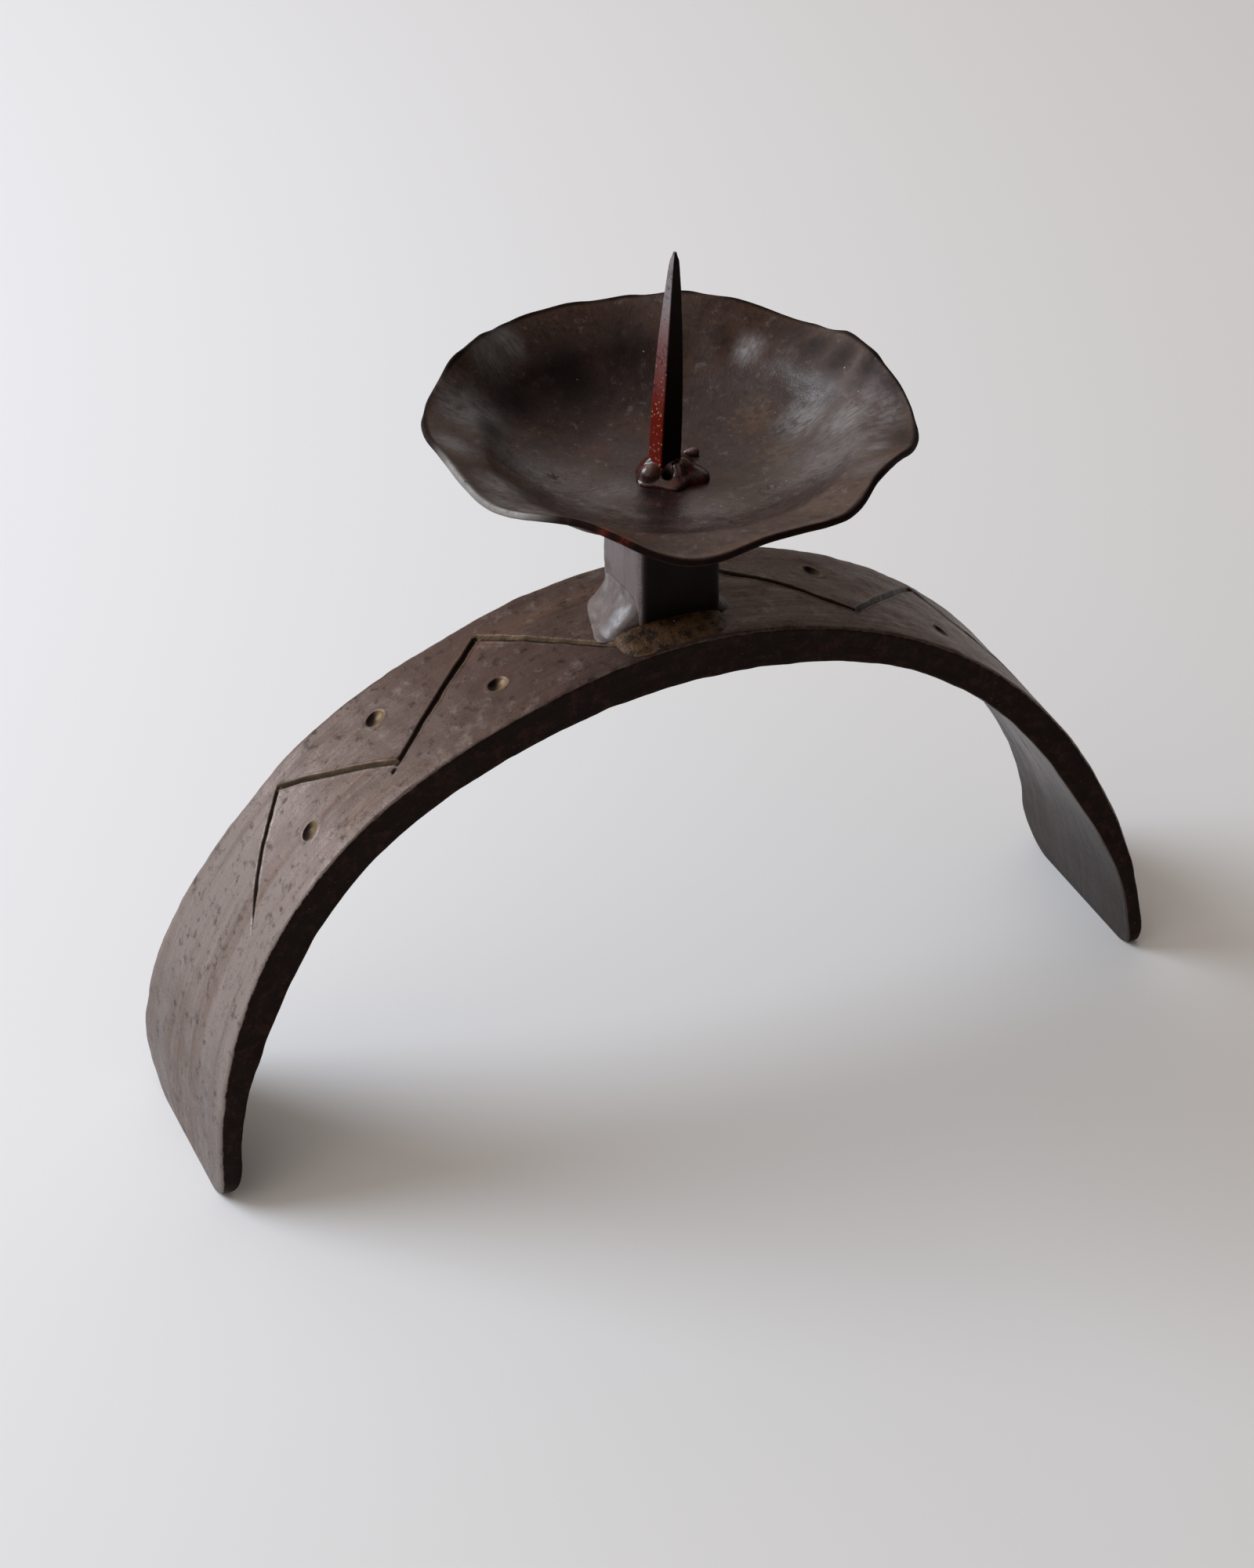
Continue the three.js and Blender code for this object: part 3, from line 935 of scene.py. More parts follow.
@dataclass
class ForgedArch:
    """The flat bar bent into an arch, drawn thin at its feet, with its chiselled ornament.

    Lengths along the bar are counted from the crown, to the right.
    """

    height: float = 125.7
    half_span: float = 128.6
    sway: tuple[float, ...] = (-1.3, 1.4, 2.4, -0.4, -0.4, -1.6, -3.1, -4.0, -2.5)
    width: float = 40.0
    edge_radius: float = 0.9
    crown_thickness: float = 11.0
    haunch_thickness: tuple[float, float] = (9.6, 8.2)
    sole_thickness: float = 3.8
    spread_thickness: tuple[float, float] = (5.6, 4.4)
    crown_reach: float = 75.0
    leg_taper: float = 66.0
    left_front: Foot = Foot(26, 9, 84)
    left_back: Foot = Foot(33, 16, 94)
    right_front: Foot = Foot(28.5, 5, 110)
    right_back: Foot = Foot(28.6, 13, 116)
    strokes: tuple[Stroke, ...] = (
        Stroke(((-131.7, -12.5), (-115.6, 2.4), (-102.0, 14.3)), 1.6, 0.75, (15, 0.8)),
        Stroke(((-103.2, 14.6), (-89.5, 2.7), (-75.2, -9.9)), 1.6, 0.75, (0.8, 1.5)),
        Stroke(((-76.6, -10.4), (-60.0, 1.4), (-43.6, 13.6)), 1.7, 0.8, (0.8, 0.8)),
        Stroke(((-44.6, 13.8), (-30.2, -0.2), (-14.9, -14.8)), 1.8, 0.8, (0.8, 1.2)),
        Stroke(((-15.6, -14.9), (-2.0, -0.5), (12.0, 14.0)), 1.8, 0.8, (0.8, 1.2)),
        Stroke(((11.2, 14.6), (19.3, 7.2), (30.6, 1.4), (48.4, -11.2)), 1.8, 0.8, (0.8, 1.0)),
        Stroke(((47.2, -11.0), (64.0, 2.2), (83.2, 17.0)), 1.7, 0.8, (0.8, 1.2)),
        Stroke(((82.2, 17.0), (98.6, 3.0), (116.0, -12.0)), 1.6, 0.75, (0.8, 14)),
        Stroke(((-78.6, -11.9), (-76.6, -10.7)), 1.2, 0.4, (0.8, 0.8)),
    )
    dimples: tuple[tuple[float, float], ...] = (
        (-101.6, -6.1),
        (-74.4, 8.4),
        (-46.5, -5.4),
        (45.3, 8.8),
        (77.6, -7.0),
        (113.0, 8.6),
    )
    dimple_radius: float = 2.3
    dimple_depth: float = 0.85
    halo_depth: float = 0.22
    to_light: tuple[float, float] = (-0.83, 0.55)
    dimple_light: tuple[float, float] = (0.8, -0.6)
    dense_length: float = 20.0
    skin: float = 1.45
    sole_flare: float = 12.0
    finish: ForgedBar = field(default_factory=ForgedBar)

    @property
    def half_length(self) -> float:
        """The bar's length from the crown to a sole."""
        return math.pi / 2 * self.height

    def sway_at(self, bearing: np.ndarray) -> np.ndarray:
        """How far the outer line strays from a true arch.

        Args:
            bearing: Bearings from the left foot, in radians.

        Returns:
            Millimetres outwards, on a smooth line through the sway's values.
        """
        sway = np.array(self.sway)
        sway = np.concatenate([[2 * sway[0] - sway[1]], sway, [2 * sway[-1] - sway[-2]]])
        along = np.clip(bearing / math.pi, 0, 1) * (len(self.sway) - 1)
        index = np.minimum(along.astype(int), len(self.sway) - 2)
        part = along - index
        before, start, end, after = (sway[index + k] for k in range(4))
        leave, reach = (end - before) / 2, (after - start) / 2
        return (
            (2 * start - 2 * end + leave + reach) * part**3
            + (3 * end - 3 * start - 2 * leave - reach) * part**2
            + leave * part
            + start
        )

    def bend(self, along: np.ndarray, across: np.ndarray, depth: np.ndarray) -> np.ndarray:
        """Carries places of the flat bar to the arch.

        Args:
            along: Lengths from the crown.
            across: Places across the bar, to the back.
            depth: Depths under the outer face.

        Returns:
            Places in the model's frame, in millimetres.
        """
        bearing = math.pi / 2 + along / self.height
        radius = blend_to(self.height, self.half_span, np.cos(bearing) ** 2)
        radius = radius + self.sway_at(bearing) - depth
        x = -radius * np.cos(bearing) + SHIFT[0]
        return np.stack([x, across + SHIFT[1], radius * np.sin(bearing)], axis=1)

    def top_at(self, x: np.ndarray) -> np.ndarray:
        """The height of the arch's outer face over a place near the crown.

        Args:
            x: Places along the arch, in the model's frame.

        Returns:
            Heights in millimetres.
        """
        along = np.linspace(-60, 60, 481)
        line = self.bend(along, 0 * along, 0 * along)
        return np.interp(x, line[:, 0], line[:, 2])

    def thickness(self, to_sole: np.ndarray, left: np.ndarray) -> np.ndarray:
        """The bar's thickness.

        Args:
            to_sole: Lengths from the sole.
            left: Whether each place is on the left leg.

        Returns:
            Thicknesses in millimetres.
        """
        swell = 1 - ease(self.half_length - to_sole, 0, self.crown_reach)
        body = blend_to(np.where(left, *self.haunch_thickness), self.crown_thickness, swell)
        flare = np.where(left, *self.spread_thickness)
        spread = blend_to(self.sole_thickness, flare, ease(to_sole, 0, self.sole_flare))
        return spread + (body - flare) * ease(to_sole, self.sole_flare + 2, self.leg_taper)

    def reach(self, to_sole: np.ndarray, foot: Foot) -> np.ndarray:
        """How far the bar reaches to one side.

        Args:
            to_sole: Lengths from the sole.
            foot: The foot's side.

        Returns:
            Widths from the bar's middle line, in millimetres.
        """
        body = blend_to(self.width / 2, foot.reach, 1 - ease(to_sole, 0, foot.spread))
        below = np.maximum(foot.corner - to_sole, 0)
        return body - foot.corner + np.sqrt(foot.corner**2 - below**2)

    def stroke_lines(self) -> list[tuple[Stroke, np.ndarray]]:
        """The strokes with their paths as arrays."""
        return [(stroke, np.array(stroke.path)) for stroke in self.strokes]

    @staticmethod
    def beside(path: np.ndarray, places: np.ndarray) -> tuple[np.ndarray, np.ndarray, float]:
        """How places lie to a path.

        Args:
            path: The corners of the path.
            places: Places on the flat bar, two numbers each.

        Returns:
            The distance to the path, above 0 on its left, the length along it, and its length.
        """
        best = np.full(len(places), 1e9)
        side = np.zeros(len(places))
        along = np.zeros(len(places))
        done = 0.0
        for start, end in zip(path[:-1], path[1:]):
            run = end - start
            length = float(np.hypot(*run))
            share = np.clip(((places - start) @ run) / length**2, 0, 1)
            off = places - start - share[:, None] * run
            distance = np.hypot(off[:, 0], off[:, 1])
            nearer = distance < best
            best = np.where(nearer, distance, best)
            turn = run[0] * off[:, 1] - run[1] * off[:, 0]
            side = np.where(nearer, np.sign(turn) * distance, side)
            along = np.where(nearer, done + share * length, along)
            done += length
        return side, along, done

    def chisel(
        self, stroke: Stroke, path: np.ndarray, places: np.ndarray, tremble: np.ndarray
    ) -> tuple[np.ndarray, np.ndarray, np.ndarray, np.ndarray]:
        """One chisel stroke over the flat outer face.

        Args:
            stroke: The stroke.
            path: Its path, as an array.
            places: Places on the flat bar, two numbers each.
            tremble: The unsteadiness of the hand at each place, from -1 to 1.

        Returns:
            The cut's depth, its raised bank, how much each place is in it, and how much
            the light falls on it there.
        """
        side, along, length = self.beside(path, places)
        begins, ends = stroke.runs_out
        fade = ease(along, -0.2, begins) * ease(length - along, -0.2, ends)
        half = stroke.width / 2 * (0.35 + 0.65 * fade) * (1 + 0.1 * tremble)
        away = np.abs(side + 0.12 * tremble) / half
        cut = stroke.depth * fade * np.clip(1 - away, 0, None) ** 0.85
        bank = 0.16 * fade * np.exp(-(((away - 1.28) / 0.26) ** 2))
        run = (path[-1] - path[0]) / np.hypot(*(path[-1] - path[0]))
        toward_light = -np.sign(side) * (self.to_light[1] * run[0] - self.to_light[0] * run[1])
        wall = np.clip((away - 0.2) / 0.3, 0, 1) * np.clip((1.3 - away) / 0.25, 0, 1)
        sunny = np.clip(0.5 + 0.9 * toward_light, 0, 1) * fade * (0.75 + 0.25 * tremble)
        lit = 0.5 * wall * sunny * blend_to(1, 0.3, ease(places[:, 0], 0, 30))
        return cut, bank, np.clip(1.25 - away, 0, 1) * fade, lit

    def carve(self, places: np.ndarray) -> tuple[np.ndarray, np.ndarray, np.ndarray]:
        """The chisel strokes and dimples over the flat outer face.

        Args:
            places: Places on the flat bar, two numbers each.

        Returns:
            The depth of each place, how much it is in a groove, and how much it is on the
            wall of a groove or dimple that the light falls on, both from 0 to 1.
        """
        depth, inside, lit = np.zeros((3, len(places)))
        tremble = soft_noise(np.column_stack([places, np.zeros(len(places))]), 3.1, 41)
        for stroke, path in self.stroke_lines():
            cut, bank, within, sunny = self.chisel(stroke, path, places, tremble)
            depth = np.where(cut > 0, np.maximum(depth, cut), depth - bank * (depth <= 0))
            inside = np.maximum(inside, within)
            lit = np.maximum(lit, sunny)
        for index, centre in enumerate(self.dimples):
            off = places - np.array(centre)
            wobble = 1 + 0.07 * np.sin(2 * np.arctan2(off[:, 1], off[:, 0]) + index)
            away = np.hypot(off[:, 0], off[:, 1]) / (self.dimple_radius * wobble)
            bowl = self.dimple_depth * np.clip(1 - away**2.4, 0, None)
            halo = self.halo_depth * (1 - ease(away, 0.9, 2.8))
            halo -= 0.14 * np.exp(-(((away - 1.18) / 0.2) ** 2))
            depth = np.where(away < 1, np.maximum(depth, bowl + halo), depth + halo)
            inside = np.maximum(inside, np.clip((1.06 - away) / 0.16, 0, 1))
            sunny = ease((off @ np.array(self.dimple_light)) / self.dimple_radius, -0.5, 0.4)
            sunny *= (0.6 if centre[0] < 0 else 0.15) * np.clip((1.15 - away) / 0.15, 0, 1)
            lit = np.maximum(lit, sunny)
        return depth, inside, lit

    def near_ornament(self, places: np.ndarray) -> np.ndarray:
        """Whether places are close enough to the ornament to need fine faces.

        Args:
            places: Places on the flat bar, two numbers each.

        Returns:
            True or false for each place.
        """
        near = np.zeros(len(places), bool)
        for stroke, path in self.stroke_lines():
            side = self.beside(path, places)[0]
            near |= np.abs(side) < stroke.width / 2 + 0.9
        for centre in self.dimples:
            near |= np.hypot(*(places - np.array(centre)).T) < self.dimple_radius + 1.2
        return near

    def flat_bar(self) -> bpy.types.Object:
        """The straight bar with rounded edges, cut into faces that are finest at the ornament."""
        size = Vector((2 * self.half_length, self.width, self.crown_thickness)) * MM
        piece = start_piece(
            "forged_arch", bpy.ops.mesh.primitive_cube_add, size=1, location=(0, 0, 0)
        )
        bpy.ops.transform.resize(value=size)
        bpy.ops.transform.translate(value=(0, 0, -size.z / 2))
        pick_edges(piece, runs_along(0))
        bpy.ops.mesh.bevel(offset=self.edge_radius * MM, segments=4, profile=0.5, affect="EDGES")
        cut_along(piece, 1, 37)
        cut_along(piece, 2, 9)
        cut_along(piece, 0, 19, 19)
        body = bmesh.from_edit_mesh(piece.data)
        bpy.ops.mesh.select_mode(type="FACE")
        bpy.ops.mesh.select_all(action="DESELECT")
        body.faces.ensure_lookup_table()
        top = [face for face in body.faces if face.normal.z > 0.99]
        centres = np.array([face.calc_center_median() for face in top]) / MM
        for face, near in zip(top, self.near_ornament(centres[:, :2])):
            if near:
                face.select_set(True)
        bmesh.update_edit_mesh(piece.data)
        bpy.ops.mesh.subdivide(number_cuts=3)
        return leave_edit(piece)

    def hammered(self, points: np.ndarray, outward: np.ndarray) -> np.ndarray:
        """The height of the hammered skin over the flat bar's faces.

        Args:
            points: Places on the flat bar.
            outward: The outward direction at each.

        Returns:
            Heights in millimetres.
        """
        to_end = self.half_length - np.abs(points[:, 0])
        still = ease(to_end, 0.2, 3)
        top = np.clip(outward[:, 2], 0, 1)
        side = np.abs(outward[:, 1])
        height = 0.3 * (blows(points, (21, 17, 60), 3) - 0.4) * top
        height += 0.1 * (blows(points, (7, 6, 40), 9) - 0.4) * top
        height += 0.14 * soft_noise(points, 5, 12) + 0.05 * soft_noise(points, 1.7, 15)
        height += 0.22 * side * soft_noise(points, (30, 9, 14), 21)
        height += 0.07 * side * soft_noise(points, (7, 5, 4), 23)
        across_edge = np.clip(1 - np.abs(np.abs(outward[:, 1]) - 0.6) / 0.4, 0, 1)
        chips = np.clip(soft_noise(points, (3.4, 3, 3), 31) - 0.3, 0, 1)
        return (height - 0.6 * chips * across_edge) * still

    def thinned(self, depth: np.ndarray, thick: np.ndarray) -> np.ndarray:
        """Depths in the straight bar, drawn together for the bar's thickness at each place.

        Args:
            depth: Depths under the outer face of the straight bar.
            thick: The bar's thickness.

        Returns:
            The depths, with both skins as they were.
        """
        core = self.crown_thickness - 2 * self.skin
        share = np.clip((depth - self.skin) / core, 0, 1)
        below = np.maximum(depth - (self.crown_thickness - self.skin), 0)
        return np.minimum(depth, self.skin) + share * (thick - 2 * self.skin) + below

    def build(self) -> bpy.types.Object:
        """The arch's piece."""
        piece = self.flat_bar()
        flat = mesh_points(piece)
        outward = mesh_normals(piece)
        around = np.hypot(outward[:, 1], outward[:, 2])
        outer = np.where(around > 0.05, outward[:, 2] / np.maximum(around, 0.05), -1)
        from_dense = np.clip(self.half_length - np.abs(flat[:, 0]), 0, self.dense_length)
        crowded = self.dense_length * (from_dense / self.dense_length) ** 2
        flat[:, 0] += np.sign(flat[:, 0]) * (from_dense - crowded)
        deep, inside, lit = self.carve(flat[:, :2])
        top = np.clip((outward[:, 2] - 0.9) / 0.08, 0, 1)
        moved = flat + outward * self.hammered(flat, outward)[:, None]
        moved[:, 2] -= deep * top
        to_sole = np.clip(self.half_length - np.abs(moved[:, 0]), 0, None)
        left = moved[:, 0] < 0
        front = moved[:, 1] < 0
        reach = np.zeros(len(moved))
        for foot, mask in (
            (self.left_front, left & front),
            (self.left_back, left & ~front),
            (self.right_front, ~left & front),
            (self.right_back, ~left & ~front),
        ):
            reach[mask] = self.reach(to_sole[mask], foot)
        # Near the edge the whole growth is taken, so that the bar's edges keep their shape
        grown = reach - self.width / 2
        share = np.abs(moved[:, 1]) / (self.width / 2)
        across = moved[:, 1] + np.sign(moved[:, 1]) * grown * np.clip(share, 0, 1)
        depth = self.thinned(-moved[:, 2], self.thickness(to_sole, left))
        move_points(piece, self.bend(moved[:, 0], across, depth))
        write_values(piece, "flat", flat)
        write_values(piece, "outer", outer)
        write_values(piece, "carve", inside * top)
        write_values(piece, "lit", lit * top)
        write_values(piece, "worn", np.clip(1 - np.abs(outer - 0.8) / 0.17, 0, 1))
        smooth_shading(piece, 60)
        hand_over(piece, "arch", self.finish.material("forged_bar_scale"))
        return piece


# The post


@dataclass
class Post:
    """The short square post on the crown."""

    side: float = POST_SIDE
    edge_radius: float = 1.2
    sink: float = 0.8
    head_sink: float = 0.15
    finish: PostSteel = field(default_factory=PostSteel)

    def build(self) -> bpy.types.Object:
        """The post's piece, in the CAD post's place."""
        low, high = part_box("post")
        low = low - Vector((0, 0, self.sink * MM))
        high = high + Vector((0, 0, (CLEARANCE + self.head_sink) * MM))
        piece = start_piece(
            "square_post", bpy.ops.mesh.primitive_cube_add, size=1, location=(0, 0, 0)
        )
        bpy.ops.transform.resize(value=(self.side * MM, self.side * MM, high.z - low.z))
        bpy.ops.transform.translate(value=(low + high) / 2)
        pick_edges(piece, runs_along(2))
        bpy.ops.mesh.bevel(offset=self.edge_radius * MM, segments=4, profile=0.5, affect="EDGES")
        cut_along(piece, 2, 43)
        cut_along(piece, 0, 21)
        cut_along(piece, 1, 21)
        leave_edit(piece)
        points = mesh_points(piece)
        outward = mesh_normals(piece)
        outward[:, 2] = 0
        corner = np.clip(1 - np.abs(np.abs(outward[:, 0]) - np.abs(outward[:, 1])) / 0.7, 0, 1)
        height = 0.16 * soft_noise(points, (5, 5, 8), 51) + 0.05 * soft_noise(points, 1.6, 52)
        height -= corner * 0.3 * np.clip(soft_noise(points, (2.5, 2.5, 1.7), 53), 0, 1)
        move_points(piece, points + outward * height[:, None])
        left, right = -outward[:, 0], outward[:, 0]
        # Painted light and shade by face: pale on the left face, which faces the lamp, a little on
        # the right, dark on the front and back; the wear on the left corners also paints their
        # glints
        write_values(piece, "pale", np.clip(1.3 * left, 0, 1) + 0.25 * np.clip(right, 0, 1))
        write_values(piece, "worn", 0.6 * corner * np.clip(2 * left, 0, 1))
        smooth_shading(piece, 50)
        hand_over(piece, "post", self.finish.material("post_scale"))
        return piece


# The dish


@dataclass(frozen=True)
class Mark:
    """A soft round mark on the dish: its place, its reach and its strength."""

    x: float
    y: float
    reach: float
    strength: float = 1.0


def painted(points: np.ndarray, marks: tuple[Mark, ...]) -> np.ndarray:
    """How strongly marks lie on points: the strongest mark counts.

    Args:
        points: Places, of which the first two numbers count.
        marks: The marks.

    Returns:
        One value for each point.
    """
    value = np.zeros(len(points))
    for mark in marks:
        value = np.maximum(value, mark.strength * bump_at(points, (mark.x, mark.y), mark.reach))
    return value


@dataclass(frozen=True)
class Bend:
    """How far the lip rises above the level at a bearing round the dish, in degrees."""

    at: float
    rise: float


@dataclass
class BeatenDish:
    """The round sheet beaten into a bowl, with a lip bent into uneven waves."""

    thickness: float = 1.6
    floor_radius: float = 14.0
    bowl_radius: float = 43.7
    bowl_depth: float = 11.0
    lip_width: float = 13.5
    lip_bend: float = 5.0
    centre: tuple[float, float] = DISH_CENTRE
    underside: float = 158.4
    spokes: int = 336
    rings: int = 76
    slope_steps: int = 60
    around_scale: float = 40.0
    waves: tuple[Bend, ...] = (
        Bend(0, 46),
        Bend(32, 18),
        Bend(57, 36),
        Bend(80, 25),
        Bend(104, 30),
        Bend(131, 48),
        Bend(155, 20),
        Bend(180, 31),
        Bend(201, 22),
        Bend(224, 36),
        Bend(251, 6),
        Bend(271, 18),
        Bend(288, 14),
        Bend(306, 31),
        Bend(333, 8),
        Bend(360, 46),
    )
    dents: tuple[Mark, ...] = (
        Mark(33.4, 31.6, 6.0, 0.85),
        Mark(44.5, 23.0, 6.0, -0.35),
        Mark(-22, 30, 16, 0.6),
        Mark(12, 38, 12, -0.4),
        Mark(-36, -4, 9, -0.45),
        Mark(-30, -26, 10, 0.5),
        Mark(26, -32, 12, -0.5),
        Mark(47, -2, 8, 0.4),
    )
    marks: dict[str, tuple[Mark, ...]] = field(
        default_factory=lambda: {
            # Polished patches, partly real and partly painted sheen and highlights of the lamp and
            # the room
            "burnish_and_sheen": (
                Mark(50.5, -16, 10, 0.68),
                Mark(42, -10, 11, 0.85),
                Mark(36.5, 1.5, 10, 0.8),
                Mark(35.8, 28.6, 5.5, 1.0),
                Mark(41.8, 19.5, 5.0, 0.25),
                Mark(-38.5, 26.6, 12, 0.9),
                Mark(-27, 41, 9, 0.8),
                Mark(-20, 47, 7, 0.9),
                Mark(-49, 9.5, 8, 1.0),
                Mark(-44.1, -7.6, 10, 1.0),
                Mark(-43, -22, 8, 0.8),
                Mark(-48.5, -17, 7, 0.7),
                Mark(-16, -1, 8, 0.35),
                Mark(34, -20, 17, 0.58),
                Mark(42, -21, 8, 0.6),
                Mark(34, -38, 9, 0.4),
                Mark(-24.5, 7, 15, 0.4),
                Mark(-12, -1, 8, 0.4),
                Mark(-23, -6, 9, 0.35),
                Mark(-2, -24, 17, 0.2),
                Mark(41, -27, 5, 0.8),
            ),
            # Painted shade and a painted dark reflection: the back wall in the rim's shadow, the
            # right-back lip, and the streak in front of the spike
            "black": (
                Mark(-7, 39, 17, 1.0),
                Mark(-24, 33, 11, 0.8),
                Mark(-34.5, 21, 6.0, 0.75),
                Mark(-33.5, -4, 4.5, 0.35),
                Mark(9, 42, 14, 0.85),
                Mark(23, 39, 12, 0.45),
                Mark(47, 27, 9, 0.6),
                Mark(48, 17, 8, 0.85),
                Mark(50, 8, 8, 0.9),
                Mark(53, -2, 7.5, 0.9),
                Mark(55, -10, 6, 0.8),
                Mark(-6.0, -8.0, 6.5, 1.0),
                Mark(-9.5, -13, 6.5, 1.0),
                Mark(-12, -19, 6.0, 0.9),
                Mark(-14, -25, 5.0, 0.7),
                Mark(49, -28, 9, 0.6),
            ),
            "pits": (
                Mark(18.5, -17.1, 4.0),
                Mark(-24.5, 7, 4.5),
                Mark(-37.5, 8.4, 4.0),
                Mark(-31, 2, 4.0, 0.8),
                Mark(4, -31, 8.0, 0.9),
                Mark(14, -27, 6.0, 0.8),
                Mark(30, 2, 8.0, 0.6),
            ),
            "rust": (
                Mark(27, -4.7, 9.5, 0.95),
                Mark(28.7, 11.3, 8.5, 0.95),
                Mark(18.6, -42.9, 10, 1.0),
                Mark(8.0, -15.5, 6.0, 0.8),
                Mark(52, 2, 6.0, 0.7),
                Mark(-50, 4, 6.0, 0.7),
            ),
            "red": (
                Mark(-33.5, -41.3, 2.2, 0.9),
                Mark(-30.2, -44.9, 2.4, 0.9),
                Mark(-10.6, 16, 9.0, 0.07),
                Mark(10, -4.5, 5.0, 0.12),
                Mark(-7, -10, 5.0, 0.06),
            ),
            "gloss": (
                Mark(-6, -18, 30, 1.0),
                Mark(-26, 4, 22, 0.6),
                Mark(20, -14, 20, 0.5),
            ),
        }
    )
    finish: BeatenSheet = field(default_factory=BeatenSheet)

    @property
    def wall_angle(self) -> float:
        """The slope of the bowl's wall where the lip begins."""
        return 2 * math.atan(self.bowl_depth / (self.bowl_radius - self.floor_radius))

    @property
    def arc_radius(self) -> float:
        """The radius of the bowl's arc."""
        return (self.bowl_radius - self.floor_radius) / math.sin(self.wall_angle)

    @property
    def sheet_radius(self) -> float:
        """The radius of the flat blank."""
        return self.floor_radius + self.arc_radius * self.wall_angle + self.lip_width

    def lip_rise(self, bearing: np.ndarray) -> np.ndarray:
        """The lip's slope, from the nearest bends on either side.

        Args:
            bearing: Bearings round the dish, in radians.

        Returns:
            Slopes in radians.
        """
        degrees = np.degrees(bearing) % 360
        at = np.array([bend.at for bend in self.waves], float)
        rise = np.array([bend.rise for bend in self.waves], float)
        index = np.clip(np.searchsorted(at, degrees, side="right") - 1, 0, len(at) - 2)
        share = (degrees - at[index]) / (at[index + 1] - at[index])
        return np.radians(blend_to(rise[index], rise[index + 1], (1 - np.cos(math.pi * share)) / 2))

    def slope(self, along: np.ndarray, rise: np.ndarray) -> np.ndarray:
        """The sheet's slope.

        Args:
            along: Lengths from the middle of the blank.
            rise: The lip's slope at each place's bearing.

        Returns:
            Slopes in radians.
        """
        into = along - self.floor_radius
        wall = np.clip(into / self.arc_radius, 0, self.wall_angle)
        past = into - self.arc_radius * self.wall_angle
        return blend_to(wall, rise, ease(past, -self.lip_bend / 2, self.lip_bend / 2))

    def blank(self) -> bpy.types.Object:
        """The flat round sheet, spun from one spoke of points."""
        piece = start_piece(
            "beaten_dish", bpy.ops.mesh.primitive_plane_add, size=2, location=(0, 0, 0)
        )
        bpy.ops.mesh.select_mode(type="VERT")
        bpy.ops.mesh.select_all(action="DESELECT")
        body = bmesh.from_edit_mesh(piece.data)
        for vertex in body.verts:
            vertex.select_set(vertex.co.y > 0)
        bmesh.update_edit_mesh(piece.data)
        bpy.ops.mesh.delete(type="VERT")
        body = bmesh.from_edit_mesh(piece.data)
        for vertex in body.verts:
            vertex.co = (self.sheet_radius * MM if vertex.co.x > 0 else 0.0, 0, 0)
        bmesh.update_edit_mesh(piece.data)
        bpy.ops.mesh.select_all(action="SELECT")
        bpy.ops.mesh.subdivide(number_cuts=self.rings - 1)
        bpy.ops.mesh.select_all(action="SELECT")
        round_z = {"center": (0, 0, 0), "axis": (0, 0, 1), "use_auto_merge": True}
        bpy.ops.mesh.spin(steps=self.spokes, angle=2 * math.pi, **round_z)
        bpy.ops.mesh.select_all(action="SELECT")
        bpy.ops.mesh.remove_doubles(threshold=0.00001)
        return leave_edit(piece)

    def beaten(self, spread: np.ndarray, along: np.ndarray) -> np.ndarray:
        """The height of the hammer's facets and waves over the sheet.

        Args:
            spread: Places on the flat blank.
            along: Their lengths from its middle.

        Returns:
            Heights in millimetres.
        """
        off_floor = ease(along, 12, 24)
        skin = 0.3 * (blows(spread, 15, 64) - 0.4) * off_floor
        skin += 0.1 * (blows(spread, 6.5, 67) - 0.4) * ease(along, 6, 16)
        skin += 0.3 * soft_noise(spread, 16, 69) * off_floor
        return skin + 0.04 * soft_noise(spread, 2.4, 70)

    def shape(self, points: np.ndarray) -> tuple[np.ndarray, np.ndarray, np.ndarray]:
        """Carries places of the flat blank to the beaten bowl and its wavy lip.

        Args:
            points: Places on the blank.

        Returns:
            Places in the model's frame, and the length and the bearing on the blank of each.
        """
        along = np.hypot(points[:, 0], points[:, 1])
        bearing = np.arctan2(points[:, 1], points[:, 0])
        spread = np.column_stack([points[:, :2], np.zeros(len(points))])
        to_rim = ease(along, self.sheet_radius - 7, self.sheet_radius)
        along = along * (1 + 0.008 * to_rim * soft_noise(spread, 7, 61))
        rise = self.lip_rise(bearing) + math.radians(0.7) * soft_noise(spread, 14, 62)
        radius, height = np.zeros((2, len(points)))
        for step in range(self.slope_steps):
            slope = self.slope((step + 0.5) / self.slope_steps * along, rise)
            radius += np.cos(slope) * along / self.slope_steps
            height += np.sin(slope) * along / self.slope_steps
        slope = self.slope(along, rise)
        skin = self.beaten(spread, along)
        around = np.column_stack([np.cos(bearing), np.sin(bearing)])
        for dent in self.dents:
            place = (dent.x - self.centre[0], dent.y - self.centre[1])
            skin -= dent.strength * bump_at(radius[:, None] * around, place, dent.reach)
        flat = (radius - skin * np.sin(slope))[:, None] * around + np.array(self.centre)
        height += self.underside + self.thickness / 2 + skin * np.cos(slope)
        return np.column_stack([flat, height]), along, bearing

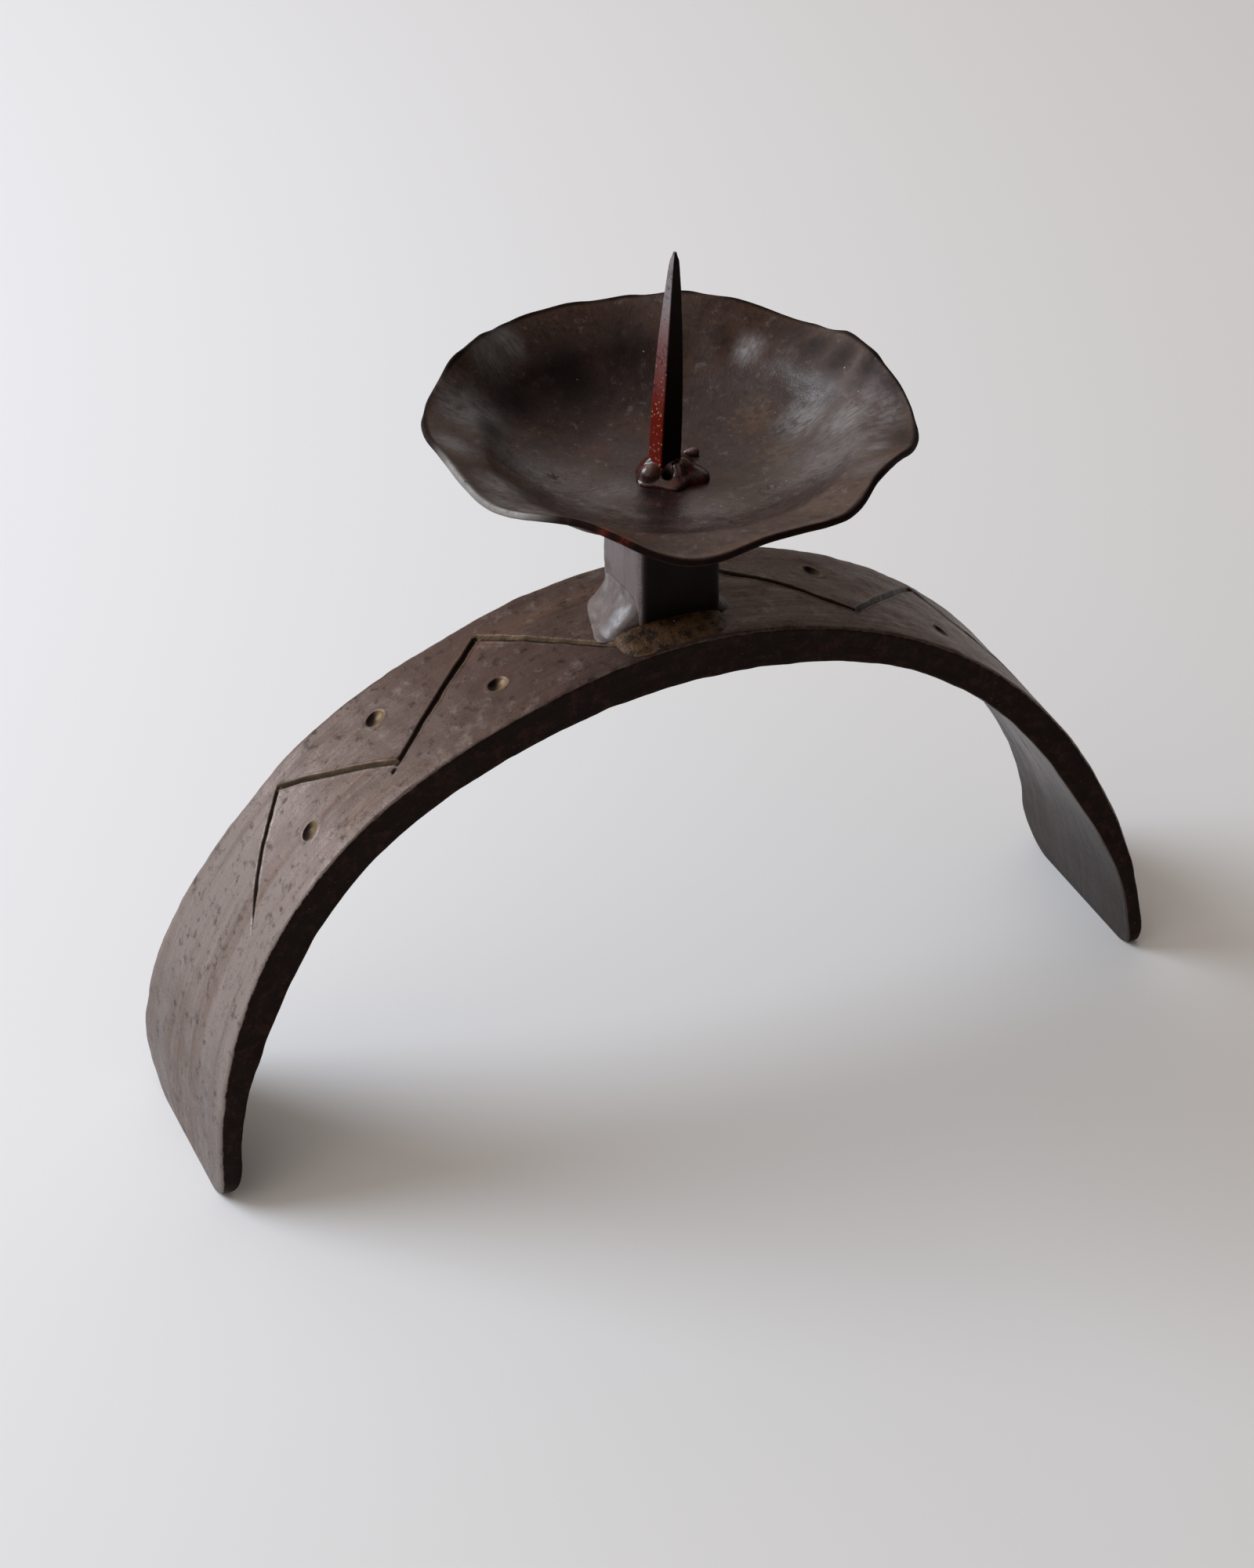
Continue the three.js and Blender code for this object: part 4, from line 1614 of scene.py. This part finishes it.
    def paint_rim(self, piece: bpy.types.Object) -> None:
        """Keeps for each vertex how much it is on the rim, and its wear and rust there.

        Args:
            piece: The dish, with its wall and its rounded edge.
        """
        flat = np.zeros(len(piece.data.vertices) * 3, np.float32)
        piece.data.attributes["flat"].data.foreach_get("vector", flat)
        reach, turn = flat.reshape(-1, 3)[:, :2].T
        around = np.degrees(turn / self.around_scale) % 360
        edge = ease(reach, self.sheet_radius - 1.2, self.sheet_radius - 0.3)
        worn = ease(around, 170, 186) * (1 - ease(around, 208, 220))
        front = ease(around, 212, 228) * (1 - ease(around, 284, 300))
        lip_line = ease(reach, self.sheet_radius - 3.4, self.sheet_radius - 1.4)
        write_values(piece, "rim", edge)
        write_values(piece, "steel", edge * worn)
        write_values(piece, "lip_rust", lip_line * (1 - edge) * np.maximum(front, 0.25))

    def build(self) -> bpy.types.Object:
        """The dish's piece."""
        piece = self.blank()
        placed, along, bearing = self.shape(mesh_points(piece))
        move_points(piece, placed)
        flat = np.column_stack([along, bearing * self.around_scale, 0 * along])
        write_values(piece, "flat", flat)
        write_values(piece, "lip", ease(along, self.sheet_radius - 16, self.sheet_radius - 9))
        for name, marks in self.marks.items():
            write_values(piece, name, painted(placed, marks))
        wall = {"thickness": self.thickness * MM, "offset": 0.0, "use_even_offset": True}
        apply_modifier(piece, "SOLIDIFY", **wall)
        edge = {"limit_method": "ANGLE", "angle_limit": math.radians(50)}
        apply_modifier(piece, "BEVEL", width=0.5 * MM, segments=3, **edge)
        self.paint_rim(piece)
        smooth_shading(piece, 40)
        hand_over(piece, "dish", self.finish.material("beaten_sheet_scale"))
        return piece


# The spike


@dataclass
class Spike:
    """The square bar drawn out to a point."""

    side: float = 5.7
    tip_side: float = 1.1
    swell: float = 0.8
    lean: tuple[float, float] = (2.15, -0.35)
    turn: float = 8.0
    corner: float = 0.09
    centre: tuple[float, float] = (0.25, 0.74)
    point_length: float = 2.2
    sink: float = 0.4
    finish: SpikeScale = field(default_factory=SpikeScale)

    def build(self) -> bpy.types.Object:
        """The spike's piece, in the CAD spike's place."""
        low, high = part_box("spike")
        length = (high.z - low.z) / MM
        piece = start_piece(
            "forged_spike", bpy.ops.mesh.primitive_cube_add, size=1, location=(0, 0, 0)
        )
        bpy.ops.transform.resize(value=(self.side * MM, self.side * MM, length * MM))
        bpy.ops.transform.translate(value=(0, 0, length / 2 * MM))
        pick_edges(piece, runs_along(2))
        edge = self.side * self.corner * MM
        bpy.ops.mesh.bevel(offset=edge, segments=3, profile=0.5, affect="EDGES")
        cut_along(piece, 2, 99)
        cut_along(piece, 0, 9)
        cut_along(piece, 1, 9)
        leave_edit(piece)
        points = mesh_points(piece)
        outward = mesh_normals(piece)
        outward[:, 2] = 0
        up = points[:, 2]
        share = np.sin(math.pi / 2 * np.clip(1 - up / length, 0, 1) ** self.swell)
        side = blend_to(self.tip_side, self.side, share)
        side = side * blend_to(0.55, 1, ease(length - up, 0, self.point_length))
        rough = 0.1 * (blows(points, (4, 4, 6), 71) - 0.4) + 0.05 * soft_noise(points, 1.1, 72)
        moved = points + outward * rough[:, None]
        across, deep = (moved[:, k] * side / self.side for k in range(2))
        place = np.column_stack(turned(across, deep, self.turn)) + np.array(self.centre)
        moved[:, :2] = place + np.array(self.lean) * (up / length)[:, None]
        moved[:, 2] = low.z / MM - self.sink * (1 - ease(up, 0, 3)) + up
        move_points(piece, moved)
        write_values(piece, "shade", np.clip(-outward[:, 1] * 1.4 + outward[:, 0], 0, 1))
        smooth_shading(piece, 50)
        hand_over(piece, "spike", self.finish.material("spike_scale"))
        return piece


# The weld metal


class Face(Enum):
    """A face of the post, by the bearing that it looks to."""

    RIGHT = 0
    BACK = 90
    LEFT = 180
    FRONT = 270


@dataclass(frozen=True)
class Run:
    """A weld run in the corner of the post: its size at its two ends, and how lumpy it is.

    `past` is how far it goes past the face's two corners, `reach` how far it lies out from the
    post and `rise` how far it climbs; `hollow` is how hollow its face is, or full below 0, and
    `fine` is the share of fine lumps on it.
    """

    node: str
    face: Face
    past: tuple[float, float]
    reach: tuple[float, float]
    rise: tuple[float, float]
    hollow: float
    ripple: float
    lumps: float
    seed: int
    fine: float = 0.5


@dataclass
class PostWelds:
    """The four runs round the post's foot and the four tacks under the dish."""

    arch: ForgedArch
    post_side: float = POST_SIDE
    sunk: float = 0.7
    end_share: float = 0.25
    tack_length: float = 12.0
    tack_leg: float = 3.0
    ripple_step: float = 1.5
    tack_ripple_step: float = 1.4
    base: float = 0.14
    runs: tuple[Run, ...] = (
        Run("weld_left", Face.LEFT, (-0.5, -0.5), (11, 5), (8.8, 6.8), 0.16, 0.0, 0.4, 81, 0.0),
        Run("weld_front", Face.FRONT, (0, 6.5), (8.0, 8.9), (2.0, 2.7), -0.04, 0.03, 0.22, 82),
        Run("weld_right", Face.RIGHT, (-1.5, -1.5), (4, 4.5), (4.5, 4), 0.12, 0.04, 0.3, 83),
        Run("weld_back", Face.BACK, (-1, -1), (4.5, 4.5), (4, 4), 0.1, 0.1, 0.2, 84),
    )
    glossy: WeldBead = WeldBead(
        (0.12, 0.096, 0.093),
        (0.07, 0.049, 0.043),
        dark=(0.05, 0.036, 0.034),
        gloss=0.26,
        speck=0.0,
        grain=0.012,
        swell=0.05,
        specular=0.6,
    )
    ochre: WeldBead = WeldBead(
        (0.11, 0.058, 0.026), (0.022, 0.01, 0.006), gloss=0.42, speck=0.8, grain=0.3, specular=0.25
    )
    brown: WeldBead = WeldBead(
        (0.085, 0.062, 0.05), (0.17, 0.15, 0.14), gloss=0.34, speck=0.3, specular=0.35
    )

    def section(
        self, turn: np.ndarray, hollow: float, sunk: tuple[float, float]
    ) -> tuple[np.ndarray, np.ndarray, np.ndarray]:
        """A closed section: along the arch, over the weld's face, and back down inside the post.

        Args:
            turn: Where on the section a point is, from 0 to 1.
            hollow: How hollow the face is.
            sunk: How far it goes into the post and into the arch, as shares of reach and rise.

        Returns:
            The point's shares of reach and rise, and how much it is on the face.
        """
        base, back = self.base, 1 - self.base
        face = np.clip((turn - base) / (back - base), 0, 1)
        pull = 0.5 - hollow
        out = (1 - face) ** 2 + 2 * face * (1 - face) * pull
        up = face**2 + 2 * face * (1 - face) * pull
        out = np.where(turn < base, -sunk[0] + (1 + sunk[0]) * turn / base, out)
        up = np.where(turn < base, -sunk[1], up)
        out = np.where(turn > back, -sunk[0] * ease(turn, back, back + 0.04), out)
        up = np.where(turn > back, blend_to(1.0, -sunk[1], (turn - back) / base), up)
        return out, up, np.clip(np.minimum(face, 1 - face) * 8, 0, 1)

    def rod(
        self, name: str, length: float, stations: int
    ) -> tuple[bpy.types.Object, np.ndarray, np.ndarray]:
        """A round rod that a run is shaped from.

        Args:
            name: The piece's name.
            length: The run's length.
            stations: How many rings of points it has.

        Returns:
            The piece, and for each point its turn round the rod and its share of the length.
        """
        piece = start_piece(
            name, bpy.ops.mesh.primitive_cylinder_add, vertices=96, radius=MM, depth=length * MM
        )
        cut_along(piece, 2, stations)
        leave_edit(piece)
        points = mesh_points(piece)
        turn = (np.arctan2(points[:, 1], points[:, 0]) / (2 * math.pi)) % 1.0
        return piece, turn, points[:, 2] / length + 0.5

    def fullness(self, share: np.ndarray) -> np.ndarray:
        """Full in the middle of a run, and rounded down at its two ends."""
        from_middle = np.abs(2 * share - 1)
        return blend_to(self.end_share, 1, np.sqrt(np.clip(1 - from_middle**6, 0, 1)))

    def place(
        self, face: Face, out: np.ndarray, along: np.ndarray
    ) -> tuple[np.ndarray, np.ndarray]:
        """Where a point is that lies out from a face of the post, and along it.

        Args:
            face: The post's face.
            out: How far out from the face.
            along: How far along it, counted as the welder went.

        Returns:
            The place across the floor: x and y.
        """
        low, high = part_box("post")
        middle = (low + high) / 2 / MM
        x, y = turned(self.post_side / 2 + out, -along, face.value)
        return middle.x + x, middle.y + y

    def make_run(self, run: Run) -> bpy.types.Object:
        """One run at the post's foot.

        Args:
            run: Where it lies and how large it is.

        Returns:
            The run's piece.
        """
        length = self.post_side + sum(run.past)
        piece, turn, share = self.rod(run.node.replace("weld_", "weld_run_"), length, 89)
        full = self.fullness(share)
        reach = full * blend_to(run.reach[0], run.reach[1], share)
        rise = full * blend_to(run.rise[0], run.rise[1], share)
        sunk = (self.sunk / max(run.reach), self.sunk / max(run.rise))
        out, up, on_face = self.section(turn, run.hollow, sunk)
        along = blend_to(-self.post_side / 2 - run.past[0], self.post_side / 2 + run.past[1], share)
        spot = np.column_stack([out * reach, along, up * rise])
        chevron = along + 1.8 * np.abs(out - 0.4) + 0.4 * soft_noise(spot, 4, run.seed)
        ripple = run.ripple * np.abs(np.sin(math.pi * chevron / self.ripple_step)) ** 0.7
        lump = soft_noise(spot, 3.6, run.seed + 100)
        lump += run.fine * soft_noise(spot, 1.3, run.seed + 200)
        lift = 0.7 * (ripple + run.lumps * lump) * on_face
        x, y = self.place(run.face, out * reach + lift, along)
        z = self.arch.top_at(x) + up * rise + lift
        move_points(piece, np.column_stack([x, y, z]))
        smooth_shading(piece, 60)
        finish = {"weld_left": self.glossy, "weld_front": self.ochre}.get(run.node, self.brown)
        hand_over(piece, run.node, finish.material(f"{run.node}_metal"))
        return piece

    def make_tack(self, face: Face) -> bpy.types.Object:
        """One tack between the post's head and the dish.

        Args:
            face: The face of the post that it lies on.

        Returns:
            The tack's piece.
        """
        name = f"tack_{face.name.lower()}"
        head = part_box("post")[1].z / MM + CLEARANCE
        piece, turn, share = self.rod(name.replace("tack_", "weld_tack_"), self.tack_length, 47)
        full = self.fullness(share)
        out, up, on_face = self.section(turn, 0.05, (0.2, 0.1))
        along = (share - 0.5) * self.tack_length
        spot = np.column_stack([out * self.tack_leg, along, up * self.tack_leg])
        ripple = 0.12 * np.abs(np.sin(math.pi * along / self.tack_ripple_step))
        lift = 0.7 * (ripple + 0.2 * soft_noise(spot, 2, 90 + face.value)) * on_face
        x, y = self.place(face, out * full * self.tack_leg + lift, along)
        z = head - up * full * self.tack_leg - lift
        move_points(piece, np.column_stack([x, y, z]))
        bpy.ops.object.mode_set(mode="EDIT")
        leave_edit(piece)
        smooth_shading(piece, 60)
        hand_over(piece, name, self.brown.material(f"{name}_metal"))
        return piece

    def build(self) -> None:
        """All runs and tacks."""
        for run in self.runs:
            self.make_run(run)
        for face in Face:
            self.make_tack(face)


@dataclass(frozen=True)
class Lump:
    """A lump of the puddle: its place from the spike's middle, its reach and its height."""

    x: float
    y: float
    reach: float
    height: float


@dataclass(frozen=True)
class Lobe:
    """Where the puddle reaches further out: the bearing in degrees, by how much, how widely."""

    at: float
    more: float
    spread: float


@dataclass
class SpikePuddle:
    """The weld puddle round the spike's foot, and a drop of spatter beside it."""

    centre: tuple[float, float] = DISH_CENTRE
    floor: float = 160.0
    reach: float = 7.5
    height: float = 1.7
    collar: float = 4.0
    collar_reach: float = 4.6
    sunk: float = 0.5
    lumps: tuple[Lump, ...] = (
        Lump(4.8, -5.2, 4.4, 0.8),
        Lump(-2.8, 3.4, 2.6, 0.9),
        Lump(0.9, -4.4, 1.7, 1.0),
        Lump(2.9, -3.6, 1.6, 0.7),
        Lump(5.0, 3.2, 2.6, 0.7),
        Lump(0.6, 5.0, 3.0, 0.5),
    )
    ball: Lump = Lump(-5.2, -1.5, 2.8, 1.5)
    pinhole: Lump = Lump(-2.0, -4.2, 1.7, -2.8)
    # A painted highlight beside the pinhole
    painted_highlight_spot: Mark = Mark(2.2, -3.4, 1.6, 0.5)
    drop_size: Triple = (1.95, 1.25, 1.0)
    drop_turn: float = -18.0
    drop_lift: float = 0.75
    lobes: tuple[Lobe, ...] = (
        Lobe(196, 1.3, 30),
        Lobe(262, 1.0, 30),
        Lobe(318, 2.6, 38),
        Lobe(60, -0.8, 40),
    )
    finish: PuddleMetal = field(default_factory=PuddleMetal)

    def ball_of(self, name: str, segments: int, rings: int) -> tuple[bpy.types.Object, np.ndarray]:
        """A round ball, 1 mm in radius.

        Args:
            name: The piece's name.
            segments: Its faces round the middle.
            rings: Its rings of faces from pole to pole.

        Returns:
            The piece and the places of its points.
        """
        piece = start_piece(
            name,
            bpy.ops.mesh.primitive_uv_sphere_add,
            segments=segments,
            ring_count=rings,
            radius=MM,
        )
        leave_edit(piece)
        return piece, mesh_points(piece)

    def dress(
        self, piece: bpy.types.Object, node: str, name: str, pale: np.ndarray, hole: np.ndarray
    ) -> bpy.types.Object:
        """Gives a finished piece what its material reads, and the material.

        Args:
            piece: The piece.
            node: The CAD node that it stands for.
            name: The material's name.
            pale: How pale each point is, from 0 to 1.
            hole: How much each point is in the pinhole, from 0 to 1.

        Returns:
            The piece.
        """
        write_values(piece, "pale", np.clip(pale, 0, 1))
        write_values(piece, "hole", np.clip(hole, 0, 1))
        smooth_shading(piece, 70)
        hand_over(piece, node, self.finish.material(name))
        return piece

    def puddle_height(self, flat: np.ndarray, up: np.ndarray, hole: np.ndarray) -> np.ndarray:
        """How high the puddle stands at each place.

        Args:
            flat: Places from the spike's middle, three numbers each.
            up: The heights of the ball that the puddle is made from, -1 to 1.
            hole: How much each place is in the pinhole.

        Returns:
            Heights over the dish's floor, in millimetres.
        """
        above = np.clip(up, 0, None) ** 0.8
        away = np.hypot(flat[:, 0], flat[:, 1])
        collar = self.collar * np.exp(-((away / self.collar_reach) ** 2))
        height = self.height * above + collar * ease(above, 0, 0.5)
        for lump in self.lumps:
            apart = np.hypot(flat[:, 0] - lump.x, flat[:, 1] - lump.y) / lump.reach
            height += lump.height * np.sqrt(np.clip(1 - apart**2, 0, 1)) * ease(above, 0, 0.35)
        from_ball = np.hypot(flat[:, 0] - self.ball.x, flat[:, 1] - self.ball.y)
        round_top = np.sqrt(np.clip(self.ball.reach**2 - from_ball**2, 0, None))
        ball = (self.ball.height + round_top) * ease(round_top, 0, 0.6)
        height = np.where(up > 0, np.maximum(height, ball), height)
        height += self.pinhole.height * hole * ease(above, 0, 0.3)
        height += 0.2 * soft_noise(flat, 2.1, 95) * ease(above, 0, 0.4)
        return height + np.where(up < 0, -self.sunk * ease(-up, 0, 0.3), 0)

    def build_puddle(self) -> bpy.types.Object:
        """The puddle: a ball pressed flat on the dish's floor, with lumps and a pinhole."""
        piece, points = self.ball_of("spike_puddle", 128, 72)
        bearing = np.degrees(np.arctan2(points[:, 1], points[:, 0])) % 360
        reach = np.full(len(points), self.reach)
        for lobe in self.lobes:
            away = np.abs((bearing - lobe.at + 180) % 360 - 180)
            reach += lobe.more * (1 - ease(away, 0, lobe.spread))
        flat = points * np.array([1, 1, 0]) * reach[:, None]
        hole = bump_at(flat, (self.pinhole.x, self.pinhole.y), self.pinhole.reach)
        height = self.puddle_height(flat, points[:, 2], hole)
        pale = bump_at(flat, (self.ball.x, self.ball.y), 1.25 * self.ball.reach)
        # Painted highlight: a pale spot beside the pinhole
        pale += painted(flat, (self.painted_highlight_spot,))
        middle = np.array([*self.centre, self.floor + 0.05])
        move_points(piece, flat + middle + height[:, None] * np.array([0, 0, 1]))
        return self.dress(piece, "spike_weld", "puddle_metal", pale, 2 * hole)

    def build_drop(self) -> bpy.types.Object:
        """The drop of spatter, drawn out away from the spike."""
        low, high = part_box("spatter_drop")
        middle = (low + high) / 2 / MM
        piece, points = self.ball_of("spatter", 48, 28)
        head = blend_to(0.7, 1.15, ease(points[:, 0], -1, 0.7))
        moved = points * np.array(self.drop_size)
        moved[:, 1:] *= head[:, None]
        moved += 0.12 * points * soft_noise(moved, 1.2, 97)[:, None]
        x, y = turned(moved[:, 0], moved[:, 1], self.drop_turn)
        z = np.maximum(moved[:, 2] + self.drop_lift, -0.3)
        move_points(piece, np.column_stack([middle.x + x, middle.y + y, self.floor + z]))
        pale = np.full(len(points), 0.6)
        return self.dress(piece, "spatter_drop", "spatter_metal", pale, np.zeros(len(points)))


# The studio


@dataclass
class Studio:
    """The pale floor, the window-like lamp, the soft fill and the camera."""

    camera_at: Triple = (-308.156, -659.417, 597.33)
    camera_turn: Triple = (54.17, -0.05, -24.34)
    lens: float = 84.0
    sensor: float = 36.0
    floor_size: float = 9.0
    floor_colour: Colour = (0.83, 0.84, 0.865)
    # Painted light: the floor goes from this colour to floor_colour towards the lamp
    floor_far: Colour = (0.693, 0.698, 0.705)
    floor_toward: tuple[float, float] = (-0.83, 0.55)
    floor_range: tuple[float, float] = (-450, 500)
    lamp_toward: Triple = (-0.645, 0.43, 0.63)
    lamp_distance: float = 1.5
    lamp_size: float = 0.95
    lamp_power: float = 14.8
    lamp_colour: Colour = (0.9, 1.007, 1.132)
    bright_side: Colour = (1.08, 0.955, 0.85)
    dim_side: Colour = (0.05, 0.042, 0.036)
    low_wall: Colour = (0.4, 0.39, 0.38)
    room_toward: Triple = (-0.8, 0.6, 0)
    below: float = 0.3

    def build_floor(self) -> None:
        """The floor, painted paler to the back left, towards the lamp, as a pool of its light."""
        bpy.ops.object.select_all(action="DESELECT")
        bpy.ops.mesh.primitive_plane_add(size=self.floor_size, location=(0, 0, 0))
        floor = bpy.context.object
        floor.name = "floor"
        g = Graph("floor_paper")
        across, back = (
            g.times(g.axis(g.place, name), share) for name, share in zip("XY", self.floor_toward)
        )
        # Painted pool of light: paler towards the lamp
        toward = g.ramp(g.plus(across, back), *self.floor_range)
        pale = g.mix(toward, self.floor_far, self.floor_colour)
        floor.data.materials.append(g.finish(0.1, Base_Color=pale, Roughness=0.9))

    def build_lamp(self) -> None:
        """The large soft lamp to the back left."""
        toward = Vector(self.lamp_toward).normalized()
        data = bpy.data.lights.new("window", "AREA")
        data.shape = "DISK"
        data.size = self.lamp_size
        data.energy = self.lamp_power
        data.color = self.lamp_colour
        lamp = bpy.data.objects.new("window", data)
        lamp.location = toward * self.lamp_distance
        lamp.rotation_euler = toward.to_track_quat("Z", "Y").to_euler()
        bpy.context.scene.collection.objects.link(lamp)

    def build_world(self) -> None:
        """The room: bright to the left and back, dark to the front right, with a pale far wall."""
        world = bpy.data.worlds.new("room")
        bpy.context.scene.world = world
        world.use_nodes = True
        g = Nodes(world.node_tree)
        place = g.tree.nodes.new("ShaderNodeTexCoord").outputs["Generated"]
        toward = g.vector_math("DOT_PRODUCT", place, self.room_toward).outputs["Value"]
        room = g.mix(g.ramp(toward, -0.7, 0.7), self.dim_side, self.bright_side)
        up, back = g.axis(place, "Z"), g.axis(place, "Y")
        wall = g.times(g.ramp(up, 0.5, 0.2), g.ramp(back, -0.2, 0.5))
        colour = g.mix(wall, room, self.low_wall, "ADD")
        colour = g.mix(g.ramp(up, 0.3, 0.08), colour, (self.below,) * 3, "MULTIPLY")
        g.feed(g.tree.nodes["Background"].inputs["Color"], colour)

    def build_camera(self) -> None:
        """The camera, where the photograph was taken from."""
        data = bpy.data.cameras.new("camera")
        data.lens = self.lens
        data.sensor_width = self.sensor
        camera = bpy.data.objects.new("camera", data)
        camera.location = Vector(self.camera_at) * MM
        camera.rotation_euler = Euler([math.radians(turn) for turn in self.camera_turn], "XYZ")
        bpy.context.scene.collection.objects.link(camera)
        bpy.context.scene.camera = camera
        bpy.context.scene.view_settings.view_transform = "Standard"

    def build(self) -> None:
        """Everything round the object."""
        self.build_floor()
        self.build_lamp()
        self.build_world()
        self.build_camera()


def main() -> None:
    """Builds the studio and the candlestick."""
    logging.basicConfig(level=logging.INFO, format="%(name)s: %(message)s")
    Studio().build()
    arch = ForgedArch()
    arch.build()
    Post().build()
    BeatenDish().build()
    Spike().build()
    PostWelds(arch).build()
    puddle = SpikePuddle()
    puddle.build_puddle()
    puddle.build_drop()


if __name__ == "__main__":
    main()
